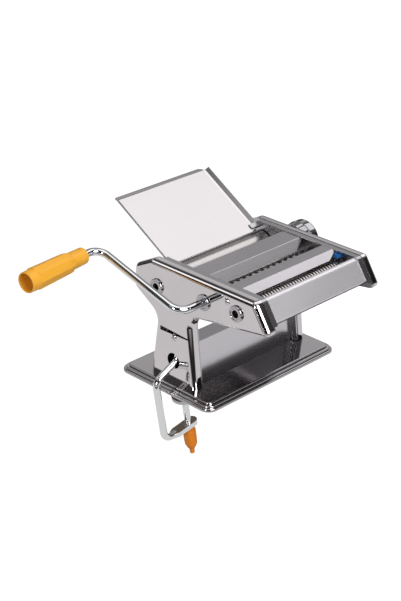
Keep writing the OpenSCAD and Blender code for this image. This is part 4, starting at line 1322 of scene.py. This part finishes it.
@dataclass
class Clamp:
    """The clamp: its bent rod with the flat arm, and the thumb piece."""

    origin: Corner = (-89.0, -2.0, 29.2)
    lean: float = 10.0
    radius: float = 4.0
    reach: float = 28.0
    depth: float = 86.0
    arm_w: float = 12.0
    arm_t: float = 6.0
    arm_end: float = 20.0
    screw_x: float = 8.3
    thumb_top: float = 92.3
    thumb_len: float = 25.5
    thumb_r: float = 7.5
    tip_len: float = 8.5

    def turn(self) -> Matrix:
        """The clamp's lean, as a turn about Y."""
        return Matrix.Rotation(-math.radians(self.lean), 3, "Y")

    def build(self) -> None:
        """Makes the rod with its arm, and the thumb piece."""
        self.rod()
        self.thumb()

    def rod(self) -> None:
        """The bent rod, flattened into an arm with a rounded end."""
        rise = math.tan(math.radians(15))
        path = [(8.5, 8.5 * rise + 8), (8.5, 8.5 * rise), (-self.reach, -self.reach * rise),
                (-self.reach, -self.depth), (-12.0, -self.depth)]
        rod = Bench.bent_rod("clamp_frame_bent", [mm(x, 0, z) for x, z in path], 11.0, self.radius)
        rod.join(self.arm())
        rod.settle(mm(*self.origin), turn=self.turn())
        rod.done("clamp", "clamp_zinc", ["clamp_frame"], angle=40)

    def arm(self) -> Bench:
        """The flat arm with its eye for the screw.

        Returns:
            The arm, in the clamp's upright frame.
        """
        half, start = self.arm_w / 2, -17.0
        corners = [(start, -half + 2.4, 0), (start + 6, -half, 3), (self.arm_end, -half, half - 0.01),
                   (self.arm_end, half, half - 0.01), (start + 6, half, 3), (start, half - 2.4, 0)]
        low = -self.depth - self.arm_t / 2
        outline = [mm(p.x, p.y, low) for p in rounded(corners, 8)]
        arm = Bench.from_chain("arm", outline, closed=True)
        arm.pick(Pick.FACE, everywhere)
        arm.push(0, 0, self.arm_t)
        arm.mend()
        eye = Bench.from_bar("eye", 3.88, low - 5, low + 15, 40)
        eye.settle(mm(self.screw_x, 0, 0))
        arm.cut(eye)
        arm.soften(0.9, 50, 4)
        return arm

    def thumb(self) -> None:
        """The thumb piece: a tapered body with flats, and a stem under it."""
        top, low = -self.thumb_top, -self.thumb_top - self.thumb_len
        body = Bench.from_bar("clamp_thumb_moulded", self.thumb_r, low, top, 8)
        body.pick(Pick.FACE, everywhere, facing=(0, 0, -1))
        body.resize((0.66, 0.66, 1), (0, 0, 0))
        body.pick(Pick.FACE, everywhere)
        for share in (0.60, 0.82):
            bpy.ops.mesh.select_all(action="SELECT")
            bpy.ops.mesh.bisect(plane_co=mm(0, 0, top - share * self.thumb_len), plane_no=(0, 0, 1))
        for share, wide in ((0.60, 1.24), (0.82, 1.30)):
            level = top - share * self.thumb_len
            body.pick(Pick.POINT, lambda p: abs(p.z - level) < 0.1)
            body.resize((wide, wide, 1), (0, 0, 0))
        body.pick(Pick.FACE, lambda p: p.z < low + 0.1, facing=(0, 0, -1))
        body.inset(1.6)
        body.push(0, 0, -self.tip_len)
        body.resize((0.9, 0.9, 1), (0, 0, low - self.tip_len))
        body.soften(0.8, 25, 3)
        hole = Bench.from_bar("hole", 3.8, top - 0.6 * self.thumb_len, top + 3.0)
        body.cut(hole)
        body.settle(mm(self.screw_x, 0, 0))
        body.settle(mm(*self.origin), turn=self.turn())
        body.done("screw", "thumb_orange", ["clamp_thumb"], angle=28)


class Inside:
    """The CAD nodes that stay, each in its slot's finish."""

    @staticmethod
    def dress() -> None:
        """Gives every shown CAD node the material of its slot."""
        slots = {s["node"]: s["material_slot"] for s in frame["record"]["subparts"]}
        for name, node in frame["nodes"].items():
            if node.hide_render:
                continue
            node.data.materials.clear()
            node.data.materials.append(SLOT_FINISH[slots[name]].material())
            LOG.info("%s keeps its CAD form in %s", name, slots[name])


@dataclass
class Studio:
    """The camera, the lamps, the surroundings and the floor."""

    eye: Corner = (-1051.7, -985.2, 774.5)
    azimuth: float = -45.57
    elevation: float = 25.94
    roll: float = -0.61
    lens: float = 87.72
    floor: float = -128.0

    def build(self) -> None:
        """Sets up all that isn't part of the object."""
        bpy.context.scene.view_settings.view_transform = "Standard"
        self.camera()
        self.ground()
        self.lamp("front_softbox", (-0.10, -0.83, 0.53), 1.1, 5.7)
        self.lamp("rear_softbox", (-0.46, 0.60, 0.65), 0.6, 1.3)
        self.lamp("right_softbox", (0.64, -0.085, 0.76), 1.1, 1.2)
        self.lamp("fill_softbox", (0.64, -0.76, 0.07), 0.55, 0.32)
        self.lamp("left_softbox", (-0.93, -0.27, 0.25), 0.3, 30.0)
        self.lamp("upper_softbox", (-0.70, -0.06, 0.70), 0.7, 0.5)
        self.surroundings()

    def camera(self) -> None:
        """The camera, from the photograph's viewing angle."""
        az, el, roll = (math.radians(v) for v in (self.azimuth, self.elevation, self.roll))
        back = Vector((math.sin(az) * math.cos(el), -math.cos(az) * math.cos(el), math.sin(el)))
        right = (-back).cross(Vector((0, 0, 1))).normalized()
        down = (-back).cross(right)
        across = math.cos(roll) * right + math.sin(roll) * down
        under = math.cos(roll) * down - math.sin(roll) * right
        data = bpy.data.cameras.new("camera")
        data.lens, data.sensor_width, data.clip_end = self.lens, 36.0, 20.0
        camera = bpy.data.objects.new("camera", data)
        bpy.context.scene.collection.objects.link(camera)
        turn = Matrix((across, -under, back)).transposed()
        camera.matrix_world = Matrix.Translation(mm(*self.eye)) @ turn.to_4x4()
        bpy.context.scene.camera = camera

    def ground(self) -> None:
        """The pale floor, white to the camera with the object's shadow kept, and dark in mirrors towards the camera."""
        Bench.clear()
        bpy.ops.mesh.primitive_plane_add(size=24.0, location=(0, 0, self.floor * MM))
        plane = bpy.context.active_object
        plane.name = "floor"
        paint = bpy.data.materials.new("floor_pale")
        paint.use_nodes = True
        recipe = Recipe(paint.node_tree)
        here = recipe.node("ShaderNodeTexCoord", output="Object")
        x, y = (recipe.node("ShaderNodeSeparateXYZ", inputs={"Vector": here}, output=axis) for axis in "XY")
        ahead = (x + y) * -0.7071
        away = recipe.node("ShaderNodeMapRange", inputs={"Value": ahead, 1: 0.30, 2: 0.43})
        beyond = recipe.node("ShaderNodeMapRange", inputs={"Value": ahead, 1: 0.62, 2: 0.85})
        camera = recipe.node("ShaderNodeLightPath", output="Is Camera Ray")
        mirror = recipe.node("ShaderNodeLightPath", output="Is Glossy Ray")
        glow = recipe.node("ShaderNodeEmission", inputs={"Color": (1, 1, 1, 1), "Strength": 0.93 * camera})
        image = recipe.node("ShaderNodeEmission", inputs={"Color": (1, 1, 1, 1), "Strength": 0.72 - 0.70 * away + 0.6 * beyond})
        matt = recipe.node("ShaderNodeBsdfDiffuse", inputs={"Color": (0.25, 0.25, 0.25, 1)})
        both = recipe.node("ShaderNodeAddShader", inputs={0: glow, 1: matt})
        either = recipe.node("ShaderNodeMixShader", inputs={0: mirror, 1: both, 2: image})
        recipe.node("ShaderNodeOutputMaterial", inputs={"Surface": either})
        plane.data.materials.append(paint)

    @staticmethod
    def lamp(name: str, way: Corner, size: float, glow: float) -> None:
        """One softbox that looks at the object.

        Args:
            name: Its name.
            way: The way to it from the object.
            size: Its width in metres.
            glow: How bright its face is, where 1 is white.
        """
        data = bpy.data.lights.new(name, "AREA")
        data.shape, data.size = "DISK", size
        data.energy = glow * math.pi * math.pi * size ** 2 / 4
        lamp = bpy.data.objects.new(name, data)
        bpy.context.scene.collection.objects.link(lamp)
        lamp.location = mm(0, -20, 80) + 1.6 * Vector(way)
        lamp.rotation_euler = Vector(way).to_track_quat("Z", "Y").to_euler()

    @staticmethod
    def surroundings() -> None:
        """The room that metal mirrors: bright overhead, grey lower down, dark in front and on the left."""
        world = bpy.data.worlds.new("studio_room")
        world.use_nodes = True
        bpy.context.scene.world = world
        recipe = Recipe(world.node_tree)
        way = recipe.node("ShaderNodeTexCoord", output="Generated")
        across, depth, height = (recipe.node("ShaderNodeSeparateXYZ", inputs={"Vector": way}, output=axis)
                                 for axis in "XYZ")
        tones = ((0.0, 0.04), (0.32, 0.10), (0.40, 0.62), (0.50, 0.58), (0.6, 0.2), (0.777, 0.03), (0.9, 0.8), (1.0, 1.6))
        stops = [(place, (tone,) * 3) for place, tone in tones]
        tone = recipe.node("ShaderNodeValToRGB", {"stops": stops}, {"Fac": height})
        front = recipe.node("ShaderNodeMapRange", inputs={"Value": depth, 1: -0.55, 2: -0.15, 3: 0.1, 4: 1.0})
        left = recipe.node("ShaderNodeMapRange", inputs={"Value": across, 1: -0.55, 2: -0.15, 3: 0.15, 4: 1.0})
        room = recipe.node("ShaderNodeBackground", inputs={"Color": tone, "Strength": front * left})
        white = recipe.node("ShaderNodeBackground", inputs={"Color": (1, 1, 1, 1), "Strength": 1.0})
        seen = recipe.node("ShaderNodeLightPath", output="Is Camera Ray")
        both = recipe.node("ShaderNodeMixShader", inputs={0: seen, 1: room, 2: white})
        recipe.node("ShaderNodeOutputWorld", inputs={"Surface": both})


def main() -> None:
    """Builds every sub-assembly in order and dresses the CAD nodes that stay."""
    logging.basicConfig(level=logging.INFO, format="%(message)s")
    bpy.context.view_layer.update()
    for part in (Studio(), Base(), SideCovers(), SheetWork(), FeedTray(), RegulatorKnob(), Crank(), Clamp()):
        part.build()
    Inside.dress()
    Bench.clear()


if __name__ == "__main__":
    main()
